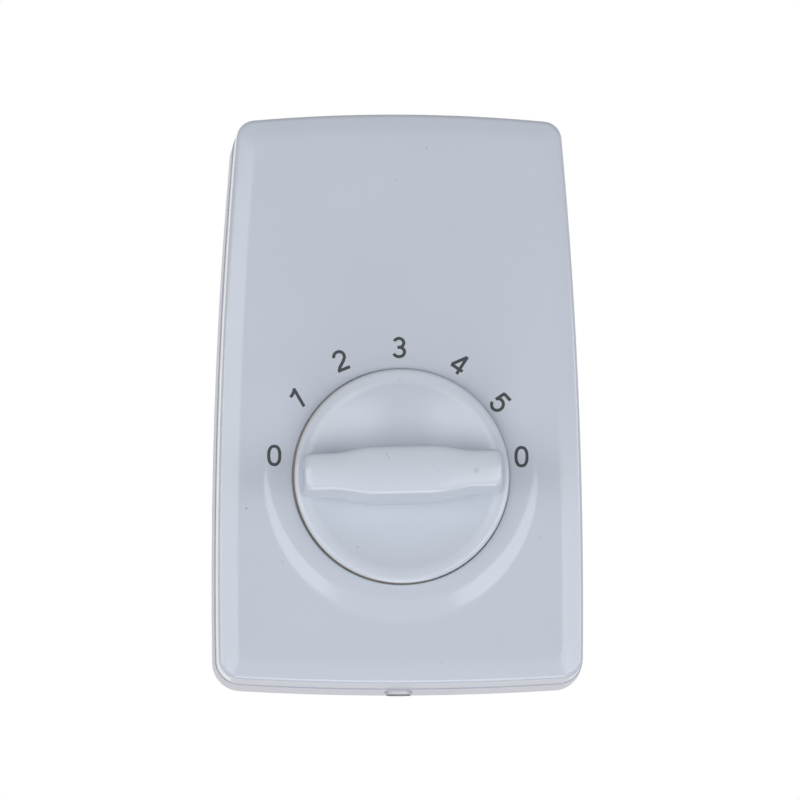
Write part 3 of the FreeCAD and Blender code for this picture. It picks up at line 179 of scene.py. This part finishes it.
def mottled(name, metallic, ior, colours, grain, roughness, depth):
    """A plain finish whose colour and gloss drift over a grain of some millimetres."""
    material, shader, place = new_finish(name, metallic, ior)
    drift = add(material, "TexNoise", {"Vector": place, "Scale": per_mm(grain), "Detail": 5.0,
                                       "Roughness": 0.6})
    tones = {0: drift.outputs["Fac"], 6: linear(colours[0]), 7: linear(colours[1])}
    colour = add(material, "Mix", tones, data_type="RGBA")
    join_to(material, colour.outputs[2], shader, "Base Color")
    gloss = add(material, "MapRange", {"Value": drift.outputs["Fac"], 3: roughness[0], 4: roughness[1]})
    join_to(material, gloss.outputs[0], shader, "Roughness")
    fine = add(material, "TexNoise", {"Vector": place, "Scale": per_mm(grain / 8), "Detail": 3.0})
    bump = add(material, "Bump", {"Height": fine.outputs["Fac"], "Strength": 0.15, "Distance": depth * MM})
    join_to(material, bump.outputs[0], shader, "Normal")
    return material


polyamide = mottled("moulded_polyamide", 0.0, 1.53, ("#d2d1c6", "#dedcd2"), 4.0, (0.42, 0.52), 0.02)
brass = mottled("stamped_brass", 1.0, 1.45, ("#b08a44", "#cfac63"), 3.0, (0.26, 0.42), 0.01)
zinc_plate = mottled("zinc_plated_steel", 1.0, 1.45, ("#9da09d", "#bcbeba"), 2.0, (0.30, 0.44), 0.01)
dress(polyamide, "terminal_block")
dress(brass, "terminal_tubes")
dress(zinc_plate, "terminal_screws", "block_screw")


# Choke
# A stack of varnished E and I laminations round a black nylon bobbin, wound with enamelled copper wire and
# closed with yellow film tape. Four long screws hold the stack to the tray's posts.

def banded(name, metallic, colours, direction, pitch, roughness, depth):
    """A finish in fine bands, as stacked sheet or laid wire shows."""
    material, shader, place = new_finish(name, metallic, 1.45)
    bands = add(material, "TexWave", {"Vector": place, "Scale": per_mm(pitch) * math.pi / 10,
                                      "Distortion": 0.4}, bands_direction=direction)
    tones = {0: bands.outputs["Fac"], 6: linear(colours[0]), 7: linear(colours[1])}
    colour = add(material, "Mix", tones, data_type="RGBA")
    join_to(material, colour.outputs[2], shader, "Base Color")
    worn = add(material, "TexNoise", {"Vector": place, "Scale": per_mm(3), "Detail": 4.0})
    gloss = add(material, "MapRange", {"Value": worn.outputs["Fac"], 3: roughness[0], 4: roughness[1]})
    join_to(material, gloss.outputs[0], shader, "Roughness")
    bump = add(material, "Bump", {"Height": bands.outputs["Fac"], "Strength": 0.5, "Distance": depth * MM})
    join_to(material, bump.outputs[0], shader, "Normal")
    return material


laminations = banded("varnished_laminations", 0.85, ("#3c3f44", "#63666b"), "Y", 0.5, (0.38, 0.55), 0.05)
copper_wire = banded("enamelled_copper_wire", 0.75, ("#7a3c1a", "#b8692f"), "Z", 0.6, (0.25, 0.38), 0.12)
black_nylon = mottled("black_nylon", 0.0, 1.53, ("#1a1b1d", "#26272a"), 4.0, (0.40, 0.52), 0.02)
film_tape = mottled("yellow_film_tape", 0.0, 1.60, ("#caa92f", "#e0c24d"), 6.0, (0.18, 0.30), 0.02)
dress(laminations, "choke_e_core", "choke_i_core")
dress(copper_wire, "choke_winding")
dress(black_nylon, "choke_bobbin")
dress(film_tape, "choke_tape")
dress(zinc_plate, "choke_screws")


# Rotary switch
# A brown phenolic cup with stamped brass contacts, closed by a plated steel plate with a turned brass bush.
# A nylon rotor and its wiper turn inside on a steel shaft, and a leaf spring clicks into the rotor's notches.
phenolic = mottled("moulded_phenolic", 0.0, 1.60, ("#2e1a11", "#452a1b"), 2.5, (0.35, 0.48), 0.02)
nylon = mottled("natural_nylon", 0.0, 1.53, ("#cfcabb", "#dcd8ca"), 4.0, (0.40, 0.50), 0.02)
spring_steel = mottled("blued_spring_steel", 1.0, 1.45, ("#707377", "#8c8f92"), 2.0, (0.25, 0.36), 0.01)
dress(phenolic, "switch_body")
dress(brass, "fixed_contacts", "common_contact", "switch_wiper", "switch_rivets", "switch_bush")
dress(zinc_plate, "switch_plate", "switch_screws", "switch_shaft")
dress(nylon, "switch_rotor")
dress(spring_steel, "detent_spring", "shaft_clip", "knob_clip")


# Leads
# Thin stranded wire in coloured PVC: blue from the choke's taps to the switch, red from the terminals.
# The insulation is extruded, so it has a soft sheen.
blue_pvc = mottled("blue_pvc_insulation", 0.0, 1.53, ("#1f3a80", "#284a99"), 3.0, (0.40, 0.50), 0.02)
red_pvc = mottled("red_pvc_insulation", 0.0, 1.53, ("#96201b", "#ae2a24"), 3.0, (0.40, 0.50), 0.02)
dress(blue_pvc, "tap_leads")
dress(red_pvc, "mains_leads")


# Front cover
# The tapered white ABS shell that hooks over the tray's top edge. Its face rolls off at the edges, and a low
# collar swells out of the face round the lower half of the dial. It is moulded in one shot and polished,
# apart from the satin wall at its foot.
FACE = 26.0
EDGE_TOP = 25.25
MID_WALL = 19.0
SEAM = 12.65
TRAY_RIM = 12.5
WALL = 2.2
FACE_WALL = 2.4
REVEAL = 0.2
LIP_GAP = 0.15
LIP_FOOT = SEAM - 2.0
LOOP_STEP = 0.05
SLOPE = math.tan(math.radians(4))
COVER_INSET = TRAY_RIM * SLOPE + REVEAL
EDGE = (COVER_INSET + (EDGE_TOP - SEAM) * SLOPE, EDGE_TOP)
EDGE_ROUND = 1.3
ROLL = 4.2
ROLL_ROUND = 14.0
TRAY_INSET = TRAY_RIM * SLOPE + WALL
SHELL_INSET = EDGE[0] + WALL
FOOT_SAG = 0.25
FOOT_SATIN = 0.34

HALF_WIDTH, HALF_HEIGHT, WIDEST_Z = 40, 62, -34
SIDE_BEND, TOP_BEND, FOOT_BEND = 1090, 340, 560
TOP_CORNER, FOOT_CORNER, FACE_CORNER, LEAST_CORNER = 5.8, 6.2, 2.2, 0.6
TURNS = (44, 10, 22, 10, 44, 10, 22, 10)

COLLAR_RISE, COLLAR_REACH, COLLAR_START = 0.95, 26.8, 6.0
COLLAR_FOOT, COLLAR_SWELL = 28.5, 2.2
FLANK_SLOPE, FLANK_EASE = 0.26, 0.08
DISC_BLEND, FOOT_BLEND, CREST_BLEND = 0.02, 0.4, 0.1
FACE_RINGS = [31.6 - 0.4 * step for step in range(14)] + [25.6, 24.6, 23.9]

HOLE = 22.72
HOLE_SHIFT = 0.06
HOLE_RIM = ((0.25, 0.0), (0.15, 0.03), (0.05, 0.12), (0.0, 0.25))
GROOVE_FLOOR = 25.6
WELL = ((HOLE, GROOVE_FLOOR), (20.9, GROOVE_FLOOR), (20.9, 23.2), (5.8, 23.2), (5.8, 21.6), (24.67, 21.6),
        (24.67, 23.55))
# The brown tone in the groove round the dial, by its inner and outer radius and the heights where it starts
# and is full
GROOVE_TINT = (HOLE, HOLE + 0.13, GROOVE_FLOOR + 0.25, GROOVE_FLOOR)
# The screw's lug and the two hooks, by x, z, width, depth, foot and top
LUG_AND_HOOKS = ((0, -54.78, 10, 7.5, 4.0, 23.8),
                 (-19, 57.3, 8, 1.6, 7.0, 14.65), (19, 57.3, 8, 1.6, 7.0, 14.65),
                 (-19, 57.8, 8, 2.6, 7.0, 9.6), (19, 57.8, 8, 2.6, 7.0, 9.6))
COVER_SPECKS = ((5.7, 52.5, 0.3, 0.3), (-0.7, 45.8, 0.5, 0.08), (20.8, 37.3, 0.3, 0.1),
                (-32.2, -23.9, 0.3, 0.55), (-24.7, -35.0, 0.3, 0.22), (28.9, -29.8, 0.3, 0.22),
                (8.5, -56.0, 0.3, 0.14))


def corner_radii(inset):
    """The top and bottom corner radii of the outline at an inset, tighter past the face's edge."""
    past = max(0.0, inset - EDGE[0]) / ROLL
    top, bottom = TOP_CORNER - min(inset, EDGE[0]), FOOT_CORNER - min(inset, EDGE[0])
    if past <= 1:
        return top + (FACE_CORNER - top) * past, bottom + (FACE_CORNER - bottom) * past
    return (max(FACE_CORNER - ROLL * (past - 1), LEAST_CORNER),) * 2


def case_loop(mesh, inset, height, corners=None, sag=0.0):
    """A closed loop of edges round the case: one point is swung round the outline's eight arcs in turn."""
    top, bottom = corners or corner_radii(inset)
    sides = [(Vector((HALF_WIDTH - SIDE_BEND, WIDEST_Z)), SIDE_BEND - inset),
             (Vector((0, HALF_HEIGHT - TOP_BEND)), TOP_BEND - inset),
             (Vector((SIDE_BEND - HALF_WIDTH, WIDEST_Z)), SIDE_BEND - inset),
             (Vector((0, FOOT_BEND - HALF_HEIGHT)), FOOT_BEND - inset + sag)]
    ends = [(top, 1, 1), (top, -1, 1), (bottom, -1, -1), (bottom, 1, -1)]
    middles = []
    for number, (round_off, right, up) in enumerate(ends):
        (here, reach), (there, other) = sides[number], sides[(number + 1) % 4]
        reach, other = reach - round_off, other - round_off
        apart = there - here
        along = (apart.length ** 2 + reach ** 2 - other ** 2) / (2 * apart.length)
        off = math.sqrt(reach ** 2 - along ** 2)
        ahead = apart.normalized()
        across = Vector((-ahead.y, ahead.x))
        found = [here + ahead * along + across * off * way for way in (1, -1)]
        middles.append(max(found, key=lambda point: point.x * right + point.y * up))
    touches = []
    for number, (centre, radius) in enumerate(sides):
        for middle in (middles[number - 1], middles[number]):
            touches.append(centre + (middle - centre).normalized() * radius)
    centres = [point for number in range(4) for point in (sides[number][0], middles[number])]
    first = mesh.verts.new((touches[0].x * MM, -height * MM, touches[0].y * MM))
    tip = first
    for number, centre in enumerate(centres):
        start, finish = touches[number] - centre, touches[(number + 1) % 8] - centre
        swing = math.atan2(start.x * finish.y - start.y * finish.x, start.dot(finish))
        made = bmesh.ops.spin(mesh, geom=[tip], cent=(centre.x * MM, -height * MM, centre.y * MM),
                              axis=(0, -1, 0), angle=swing, steps=TURNS[number])
        tip = next(item for item in made["geom_last"] if isinstance(item, bmesh.types.BMVert))
    bmesh.ops.weld_verts(mesh, targetmap={tip: first})
    return walk(first)


def walk(first):
    """The bare edges of the loop that a vertex belongs to."""
    seen, edges, queue = {first}, set(), [first]
    while queue:
        vertex = queue.pop()
        for edge in vertex.link_edges:
            if not edge.link_faces and edge not in edges:
                edges.add(edge)
                other = edge.other_vert(vertex)
                if other not in seen:
                    seen.add(other)
                    queue.append(other)
    return list(edges)


def soft_max(first, second, width):
    """The larger of two values, rounded over a width where they meet."""
    return (first + second + math.sqrt((first - second) ** 2 + width * width)) / 2


def collar_lift(x, z):
    """How far the collar stands out of the face: a tilted disc with a flank, blended where they meet."""
    below, reach = DIAL_Z - z, math.hypot(x, z - DIAL_Z)
    down = (max(below, 0.0) / reach) ** 2
    tilt = COLLAR_RISE / (COLLAR_REACH + COLLAR_START) * (COLLAR_START + below)
    disc = soft_max(tilt, 0.0, DISC_BLEND)
    within = soft_max(COLLAR_FOOT + COLLAR_SWELL * down - reach, 0.0, FOOT_BLEND)
    flank = within * (FLANK_SLOPE - FLANK_EASE * down)
    return max(-soft_max(-disc, -flank, CREST_BLEND), 0.0)


def draw_in(mesh, loop, radius, height, shift=0.0, collar=True):
    """Pulls a new ring of faces from a loop of edges in to a circle round the dial, lifted by the collar."""
    made = bmesh.ops.extrude_edge_only(mesh, edges=loop)["geom"]
    for vertex in made:
        if isinstance(vertex, bmesh.types.BMVert):
            spoke = Vector((vertex.co.x, vertex.co.z - DIAL_Z * MM)).normalized() * radius
            x, z = spoke.x + shift, spoke.y + DIAL_Z
            lift = collar_lift(x, z) if collar else 0.0
            vertex.co = (x * MM, -(height + lift) * MM, z * MM)
    return [item for item in made if isinstance(item, bmesh.types.BMEdge)]


def fillet(corner, before, after, radius, steps):
    """Points of a fillet between two straight runs of a profile that meet at a corner."""
    corner = Vector(corner)
    back, ahead = (Vector(before) - corner).normalized(), (Vector(after) - corner).normalized()
    half = back.angle(ahead) / 2
    centre = corner + (back + ahead).normalized() * (radius / math.sin(half))
    cut = radius / math.tan(half)
    start, finish = corner + back * cut, corner + ahead * cut
    points = []
    for step in range(steps + 1):
        spoke = (start - centre).slerp(finish - centre, step / steps)
        points.append(tuple(centre + spoke.normalized() * radius))
    return points


mesh = bmesh.new()
face_start = (EDGE[0] + ROLL, FACE)
profile = [(COVER_INSET, SEAM), (COVER_INSET + (MID_WALL - SEAM) * SLOPE, MID_WALL)]
profile += fillet(EDGE, (COVER_INSET, SEAM), face_start, EDGE_ROUND, 9)
profile += fillet(face_start, EDGE, (face_start[0] + ROLL, FACE), ROLL_ROUND, 6)[:-1]
outside = []
for inset, height in profile:
    outside.append(case_loop(mesh, inset, height, sag=FOOT_SAG * (height - SEAM) / (FACE - SEAM)))
ring = outside[-1]
for radius in FACE_RINGS:
    ring = draw_in(mesh, ring, radius, FACE)
for out, drop in HOLE_RIM:
    ring = draw_in(mesh, ring, HOLE + out, FACE - drop, HOLE_SHIFT)
for radius, height in WELL:
    ring = draw_in(mesh, ring, radius, height, collar=False)
lip_inset = TRAY_INSET + LIP_GAP
shell_corners = (TOP_CORNER - SHELL_INSET, FOOT_CORNER - SHELL_INSET)
lip_corners = (TOP_CORNER - lip_inset, FOOT_CORNER - lip_inset)
inside = [ring, case_loop(mesh, SHELL_INSET, FACE - FACE_WALL, shell_corners),
          case_loop(mesh, SHELL_INSET, LIP_FOOT + 2 * LOOP_STEP, shell_corners),
          case_loop(mesh, lip_inset, LIP_FOOT, lip_corners),
          case_loop(mesh, lip_inset, SEAM - LOOP_STEP, lip_corners), outside[0]]
for loops in (outside, inside):
    for near, far in zip(loops, loops[1:]):
        bmesh.ops.bridge_loops(mesh, edges=near + far)
for x, z, wide, deep, foot, top in LUG_AND_HOOKS:
    size = Matrix.Diagonal((wide * MM, (top - foot) * MM, deep * MM, 1))
    middle = Matrix.Translation((x * MM, -(foot + top) / 2 * MM, z * MM))
    bmesh.ops.create_cube(mesh, size=1, matrix=middle @ size)
bmesh.ops.recalc_face_normals(mesh, faces=mesh.faces)
smooth_by_angle(mesh, 34)

cover_abs = moulded_abs("moulded_abs_cover", "#c0c7d3", "#bbc2ce", (0.09, 0.15), COVER_SPECKS, GROOVE_TINT)
shader = cover_abs.node_tree.nodes["Principled BSDF"]
polish = shader.inputs["Roughness"].links[0].from_socket
facing = add(cover_abs, "SeparateXYZ", {0: add(cover_abs, "TexCoord").outputs["Normal"]})
satin = add(cover_abs, "MapRange", {"Value": facing.outputs["Z"], 1: -0.85, 2: -0.95, 3: 0.0, 4: FOOT_SATIN})
sheen = add(cover_abs, "Math", {0: polish, 1: satin.outputs[0]}, operation="MAXIMUM")
join_to(cover_abs, sheen.outputs[0], shader, "Roughness")
place_piece("cover_shell", mesh, cover_abs, "housing", "cover_plastic", "front_cover")


# Dial numbers
# Small dark grey numerals pad-printed on the cover round the upper half of the dial, in a plain grotesque
# with strokes of two thirds of a millimetre. The film of ink is a few hundredths of a millimetre thick and
# slightly matt.
STROKE = 0.66
INK_FILM = 0.02
INK_STEP = 0.006
ARC_STEPS = 24
ink = mottled("pad_print_ink", 0.0, 1.50, ("#25272d", "#2f3137"), 1.5, (0.45, 0.60), 0.005)


def arc(x, y, across, up, start, finish, power=2.0):
    """Points along part of an ellipse, or of a squarer oval if the power is over two."""
    points = []
    for step in range(ARC_STEPS + 1):
        angle = math.radians(start + (finish - start) * step / ARC_STEPS)
        ways = (math.cos(angle), math.sin(angle))
        reach = [math.copysign(abs(way) ** (2 / power), way) for way in ways]
        points.append((x + across * reach[0], y + up * reach[1]))
    return points


NUMERALS = {
    "0": [arc(0, 0, 1.16, 1.94, 0, 360, 2.4)],
    "1": [[(0.5, -2.2), (0.5, 2.16)], [(0.62, 2.1), (0.1, 1.5), (-0.4, 1.16), (-1.0, 0.92)]],
    "2": [arc(0, 0.82, 1.12, 1.12, 172, -38) + [(0.5, -0.3), (-0.1, -0.82), (-0.68, -1.32), (-1.02, -1.94)],
          [(-1.34, -1.94), (1.36, -1.94)]],
    "3": [arc(-0.04, 0.98, 1.02, 0.96, 158, -80), arc(-0.02, -0.94, 1.16, 1.0, 80, -160),
          [(-0.34, 0.04), (0.2, 0.04)]],
    "4": [[(0.62, -2.2), (0.62, 2.1)], [(-1.45, -1.05), (1.4, -1.05)], [(-1.36, -1.0), (0.62, 2.02)]],
    "5": [[(-0.82, 1.94), (1.16, 1.94)], [(-0.72, 2.1), (-1.06, -0.2)],
          arc(-0.04, -0.66, 1.2, 1.28, 150, -162)],
}
# Each numeral with its x, z and lean in degrees
DIAL = (("0", -26.4, -12.8, 0), ("1", -21.7, -0.85, 30), ("2", -12.55, 7.2, 22), ("3", -0.25, 9.97, 0),
        ("4", 12.45, 6.55, -33), ("5", 20.85, -1.65, -48), ("0", 25.3, -13.05, 0))


def draw_stroke(mesh, points, place, lift):
    """A flat ribbon of ink along a line of points, lifted so that crossing strokes lie one over another."""
    pairs = []
    for number, point in enumerate(points):
        before, after = points[max(number - 1, 0)], points[min(number + 1, len(points) - 1)]
        if points[0] == points[-1] and number in (0, len(points) - 1):
            before, after = points[-2], points[1]
        ahead = (Vector(after) - Vector(before)).normalized()
        out = Vector((-ahead.y, ahead.x)) * STROKE / 2
        edges = [Vector(point) + out, Vector(point) - out]
        pairs.append([mesh.verts.new(place @ Vector((*edge, lift))) for edge in edges])
    for near, far in zip(pairs, pairs[1:]):
        mesh.faces.new((*near, *reversed(far)))


mesh = bmesh.new()
upright = Matrix.Rotation(math.pi / 2, 4, "X")
for numeral, x, z, lean in DIAL:
    place = Matrix.Translation((x * MM, -(FACE + INK_FILM) * MM, z * MM)) @ upright
    place = place @ Matrix.Rotation(math.radians(lean), 4, "Z") @ Matrix.Scale(MM, 4)
    for number, points in enumerate(NUMERALS[numeral]):
        draw_stroke(mesh, points, place, number * INK_STEP)
for vertex in mesh.verts:
    vertex.co.y -= collar_lift(vertex.co.x / MM, vertex.co.z / MM) * MM
bmesh.ops.remove_doubles(mesh, verts=mesh.verts, dist=WELD / 10)
bmesh.ops.recalc_face_normals(mesh, faces=mesh.faces)
bmesh.ops.solidify(mesh, geom=mesh.faces, thickness=INK_FILM * MM)
place_piece("dial_numbers", mesh, ink, "housing", "bobbin_plastic")


# Cover screw
# One dull nickel-plated pan-head screw in the middle of the bottom edge, with painted shade on its underside.
# It goes up through the tray into the cover's lug and pulls the cover's foot in.
HEAD_SHOWS = 1.0
HEAD_SINK = 0.4
HEAD_PAINTED_SHADE = "#7d7a83"
nickel = mottled("dull_nickel_plate", 0.4, 1.45, ("#c2c2c9", "#cacad0"), 1.5, (0.55, 0.65), 0.004)
shader = nickel.node_tree.nodes["Principled BSDF"]
plain = shader.inputs["Base Color"].links[0].from_socket
facing = add(nickel, "SeparateXYZ", {0: add(nickel, "TexCoord").outputs["Normal"]})
# Painted shade: the head's colour darkens where its surface faces down.
underside_shade = add(nickel, "MapRange", {"Value": facing.outputs["Z"], 1: -0.25, 2: -0.6})
tones = {0: underside_shade.outputs[0], 6: plain, 7: linear(HEAD_PAINTED_SHADE)}
colour = add(nickel, "Mix", tones, data_type="RGBA")
join_to(nickel, colour.outputs[2], shader, "Base Color")
screw = smoothed_copy("bottom_screw", "cover_screw", nickel, "housing", "case_screw_steel")
foot = min(vertex.co.z for vertex in screw.data.vertices)
for vertex in screw.data.vertices:
    if vertex.co.z < foot + HEAD_SHOWS * MM:
        vertex.co.z += HEAD_SINK * MM


# Control knob
# A hollow white ABS disc with a shallow dish, a rounded rim and a tall grip bar across it. The bar swells in
# the middle and leans in a little towards its crowned top. The knob sits a little off the middle of its hole,
# and has a few faint marks.
KNOB_TURN = math.radians(1.3)
KNOB_PLAY = (0.22, 0.03)
KNOB_RADIUS = 22.42
KNOB_FOOT = 25.7
RIM_TOP = 28.6
RIM_ROUND = 0.95
DISH_REACH = 20.1
DISH_DEPTH = 4.2
DISH_ROUND = 5.5
DISH_SLOPE_AT = 18.5
HUB, BORE = 5.2, 3.3
HUB_FOOT = 19.4
BAR_TOP = 39.0
BAR_CROWN = 460
BAR_LEAN = math.tan(math.radians(4.6))
BAR_RISE = 0.2
BAR_HALF = 3.75
BAR_SWELL, SWELL_END, SWELL_RUN = 1.15, 14.8, 8.8
BAR_REACH = 20.3
BAR_CORNER = 1.4
BAR_RUN = BAR_REACH - BAR_CORNER
END_LEAN = 0.3
END_SINK = 0.8
KNOB_MARKS = ((15.1, -17.2, 0.85, 0.2), (-3.3, -13.9, 0.28, 0.3), (-2.85, -14.6, 0.26, 0.3),
              (6.2, -16.4, 0.3, 0.12), (7.2, -17.2, 0.3, 0.1), (-0.25, 2.8, 0.4, 0.14),
              (-9.1, -32.0, 0.28, 0.35))


def dish_height(radius):
    """The height of the dish's surface at a distance from the dial's axis."""
    bend = (DISH_REACH ** 2 + DISH_DEPTH ** 2) / (2 * DISH_DEPTH)
    return RIM_TOP - DISH_DEPTH + bend - math.sqrt(bend ** 2 - radius ** 2)


def chain(mesh, points):
    """A run of edges through points of radius and height, on the plane of the dial's axis."""
    verts = [mesh.verts.new((radius * MM, -height * MM, DIAL_Z * MM)) for radius, height in points]
    return verts + [mesh.edges.new(pair) for pair in zip(verts, verts[1:])]


def bar_half_width(reach):
    """Half the width of the bar's top at a distance from its middle, and how far its end sinks there."""
    if reach <= BAR_RUN:
        share = min(max((SWELL_END - reach) / SWELL_RUN, 0.0), 1.0)
        return BAR_HALF + BAR_SWELL * share * share * (3 - 2 * share), 0.0
    short = 1 - math.cos(math.asin(min((reach - BAR_RUN) / BAR_CORNER, 1.0)))
    return BAR_HALF - BAR_CORNER * short, END_SINK * short


mesh = bmesh.new()
dish = [(radius, dish_height(radius)) for radius in (0, 2, 4, 6, 8, 10, 12, 14, 15.5, 17, 18, 18.8)]
inner_rim = fillet((DISH_REACH, RIM_TOP), (DISH_SLOPE_AT, dish_height(DISH_SLOPE_AT)), (KNOB_RADIUS, RIM_TOP),
                   DISH_ROUND, 10)
outer_rim = fillet((KNOB_RADIUS, RIM_TOP), (DISH_REACH, RIM_TOP), (KNOB_RADIUS, KNOB_FOOT), RIM_ROUND, 8)
hollow = [(KNOB_RADIUS, KNOB_FOOT), (20.85, KNOB_FOOT), (20.85, 26.4), (16, 24.9), (10, 23.9), (HUB, 23.7),
          (HUB, HUB_FOOT), (BORE, HUB_FOOT), (BORE, 24.4), (0, 24.4)]
half = chain(mesh, dish + inner_rim + outer_rim + hollow)
bmesh.ops.spin(mesh, geom=half, cent=(0, 0, DIAL_Z * MM), axis=(0, -1, 0), angle=math.tau, steps=144,
               use_merge=True)
bmesh.ops.remove_doubles(mesh, verts=mesh.verts, dist=WELD)

ends = [BAR_RUN + BAR_CORNER * math.sin(math.radians(step)) for step in range(90, 0, -9)]
stations = [-end for end in ends] + [BAR_RUN * (step / 22 - 1) for step in range(45)] + ends[::-1]
side = [(1.0, -15.5), (1.0, -9.0), (1.0, -4.0), (1.0, -2.2), (1.0, -1.45), (0.985, -1.12), (0.95, -0.86),
        (0.89, -0.64), (0.8, -0.47), (0.65, -0.3), (0.45, -0.15), (0.22, -0.04)]
section = side + [(0.0, 0.0)] + [(-across, down) for across, down in reversed(side)]
rings = []
for station in stations:
    width, sink = bar_half_width(abs(station))
    crest = BAR_TOP - station * station / BAR_CROWN - sink
    ring = bmesh.ops.create_circle(mesh, segments=len(section), radius=MM)["verts"]
    for vertex, (across, down) in zip(ring, section):
        lean = (sink - down) * BAR_LEAN
        x = station * (1 + END_LEAN * lean / BAR_REACH)
        z = DIAL_Z + BAR_RISE + across * (width + lean * abs(across) ** 3)
        vertex.co = (x * MM, -(crest + down) * MM, z * MM)
    rings.append(ring)
for ring in (rings[0], rings[-1]):
    bmesh.ops.edgeloop_fill(mesh, edges=walk(ring[0]))
# Joined point by point, because a bridge between rings as alike as these can twist
for near, far in zip(rings, rings[1:]):
    for number in range(len(section)):
        mesh.faces.new((near[number - 1], near[number], far[number], far[number - 1]))
bmesh.ops.recalc_face_normals(mesh, faces=mesh.faces)
bmesh.ops.rotate(mesh, verts=mesh.verts, cent=(0, 0, DIAL_Z * MM),
                 matrix=Matrix.Rotation(KNOB_TURN, 3, Vector((0, -1, 0))))
bmesh.ops.translate(mesh, verts=mesh.verts, vec=(KNOB_PLAY[0] * MM, 0, KNOB_PLAY[1] * MM))
smooth_by_angle(mesh, 38)
knob_abs = moulded_abs("moulded_abs_knob", "#c5ccd7", "#c0c7d2", (0.19, 0.25), KNOB_MARKS)
place_piece("speed_knob", mesh, knob_abs, "dial", "knob_plastic", "control_knob")


# Floor, light and camera
# A plain pale floor far below and a white surround. Broad soft lights stand low in front, to both sides and
# below, as in the photograph, with a weak one behind. The camera looks up a little from the left.
FLOOR_Z = -2.4
LAMP_REACH = 2.0
CAMERA_REACH = 0.6984
CAMERA_SWING, CAMERA_RISE, CAMERA_ROLL = -2.0, -7.0, -0.2
CAMERA_TARGET = Vector((-0.0001, -0.026, -0.00112))
FOCAL_WIDTHS = 3335 / 800

floor_paint = mottled("matt_floor_paint", 0.0, 1.45, ("#ebebea", "#f1f1f0"), 40.0, (0.7, 0.8), 0.02)
mesh = bmesh.new()
bmesh.ops.create_grid(mesh, x_segments=8, y_segments=8, size=3.0, matrix=Matrix.Translation((0, 0, FLOOR_Z)))
data = bpy.data.meshes.new("floor")
mesh.to_mesh(data)
mesh.free()
data.materials.append(floor_paint)
floor = bpy.data.objects.new("floor", data)
bpy.context.scene.collection.objects.link(floor)

world = bpy.data.worlds.new("studio")
bpy.context.scene.world = world
world.use_nodes = True
background = world.node_tree.nodes["Background"]
rays = add(world, "LightPath").outputs
seen = add(world, "Math", {0: rays["Is Camera Ray"], 1: rays["Is Glossy Ray"]}, operation="MAXIMUM")
seen = add(world, "Math", {0: seen.outputs[0], 1: rays["Is Transmission Ray"]}, operation="MAXIMUM")
tint = add(world, "Mix", {0: seen.outputs[0], 6: linear("#808080"), 7: linear("#ffffff")}, data_type="RGBA")
world.node_tree.links.new(tint.outputs[2], background.inputs["Color"])
background.inputs["Strength"].default_value = 1.0


def direction(swing, rise):
    """The way out from the part, by degrees to the right of straight ahead and degrees up."""
    turn, lift = math.radians(swing), math.radians(rise)
    return Vector((math.sin(turn) * math.cos(lift), -math.cos(turn) * math.cos(lift), math.sin(lift)))


def soft_light(name, swing, rise, wide, tall, level):
    """A soft box aimed at the part, by its direction and spread in degrees and its level against white."""
    lamp = bpy.data.lights.new(name, "AREA")
    lamp.shape = "RECTANGLE"
    lamp.size = 2 * LAMP_REACH * math.tan(math.radians(wide / 2)) * math.cos(math.radians(rise))
    lamp.size_y = 2 * LAMP_REACH * math.tan(math.radians(tall / 2))
    lamp.energy = level * math.pi * lamp.size * lamp.size_y
    box = bpy.data.objects.new(name, lamp)
    bpy.context.scene.collection.objects.link(box)
    box.visible_camera = False
    away = direction(swing, rise)
    box.location = away * LAMP_REACH
    box.rotation_euler = away.to_track_quat("Z", "Y").to_euler()


soft_light("box_left", -28.5, -8.5, 33, 45, 1.95)
soft_light("box_right", 29.5, -12, 33, 36, 2.1)
soft_light("far_left", -62, -2, 30, 27, 3.5)
soft_light("far_right", 62, -2, 30, 27, 3.4)
soft_light("below", 2, -74, 88, 40, 2.7)
soft_light("behind", 180, -40, 40, 30, 0.6)

lens = bpy.data.cameras.new("camera")
lens.sensor_width = 36.0
lens.lens = FOCAL_WIDTHS * lens.sensor_width
lens.clip_start = 0.01
camera = bpy.data.objects.new("camera", lens)
bpy.context.scene.collection.objects.link(camera)
away = direction(CAMERA_SWING, CAMERA_RISE)
camera.location = CAMERA_TARGET + away * CAMERA_REACH
roll = Matrix.Rotation(math.radians(CAMERA_ROLL), 3, "Z")
camera.rotation_euler = (away.to_track_quat("Z", "Y").to_matrix() @ roll).to_euler()
bpy.context.scene.camera = camera
bpy.context.scene.view_settings.view_transform = "Standard"
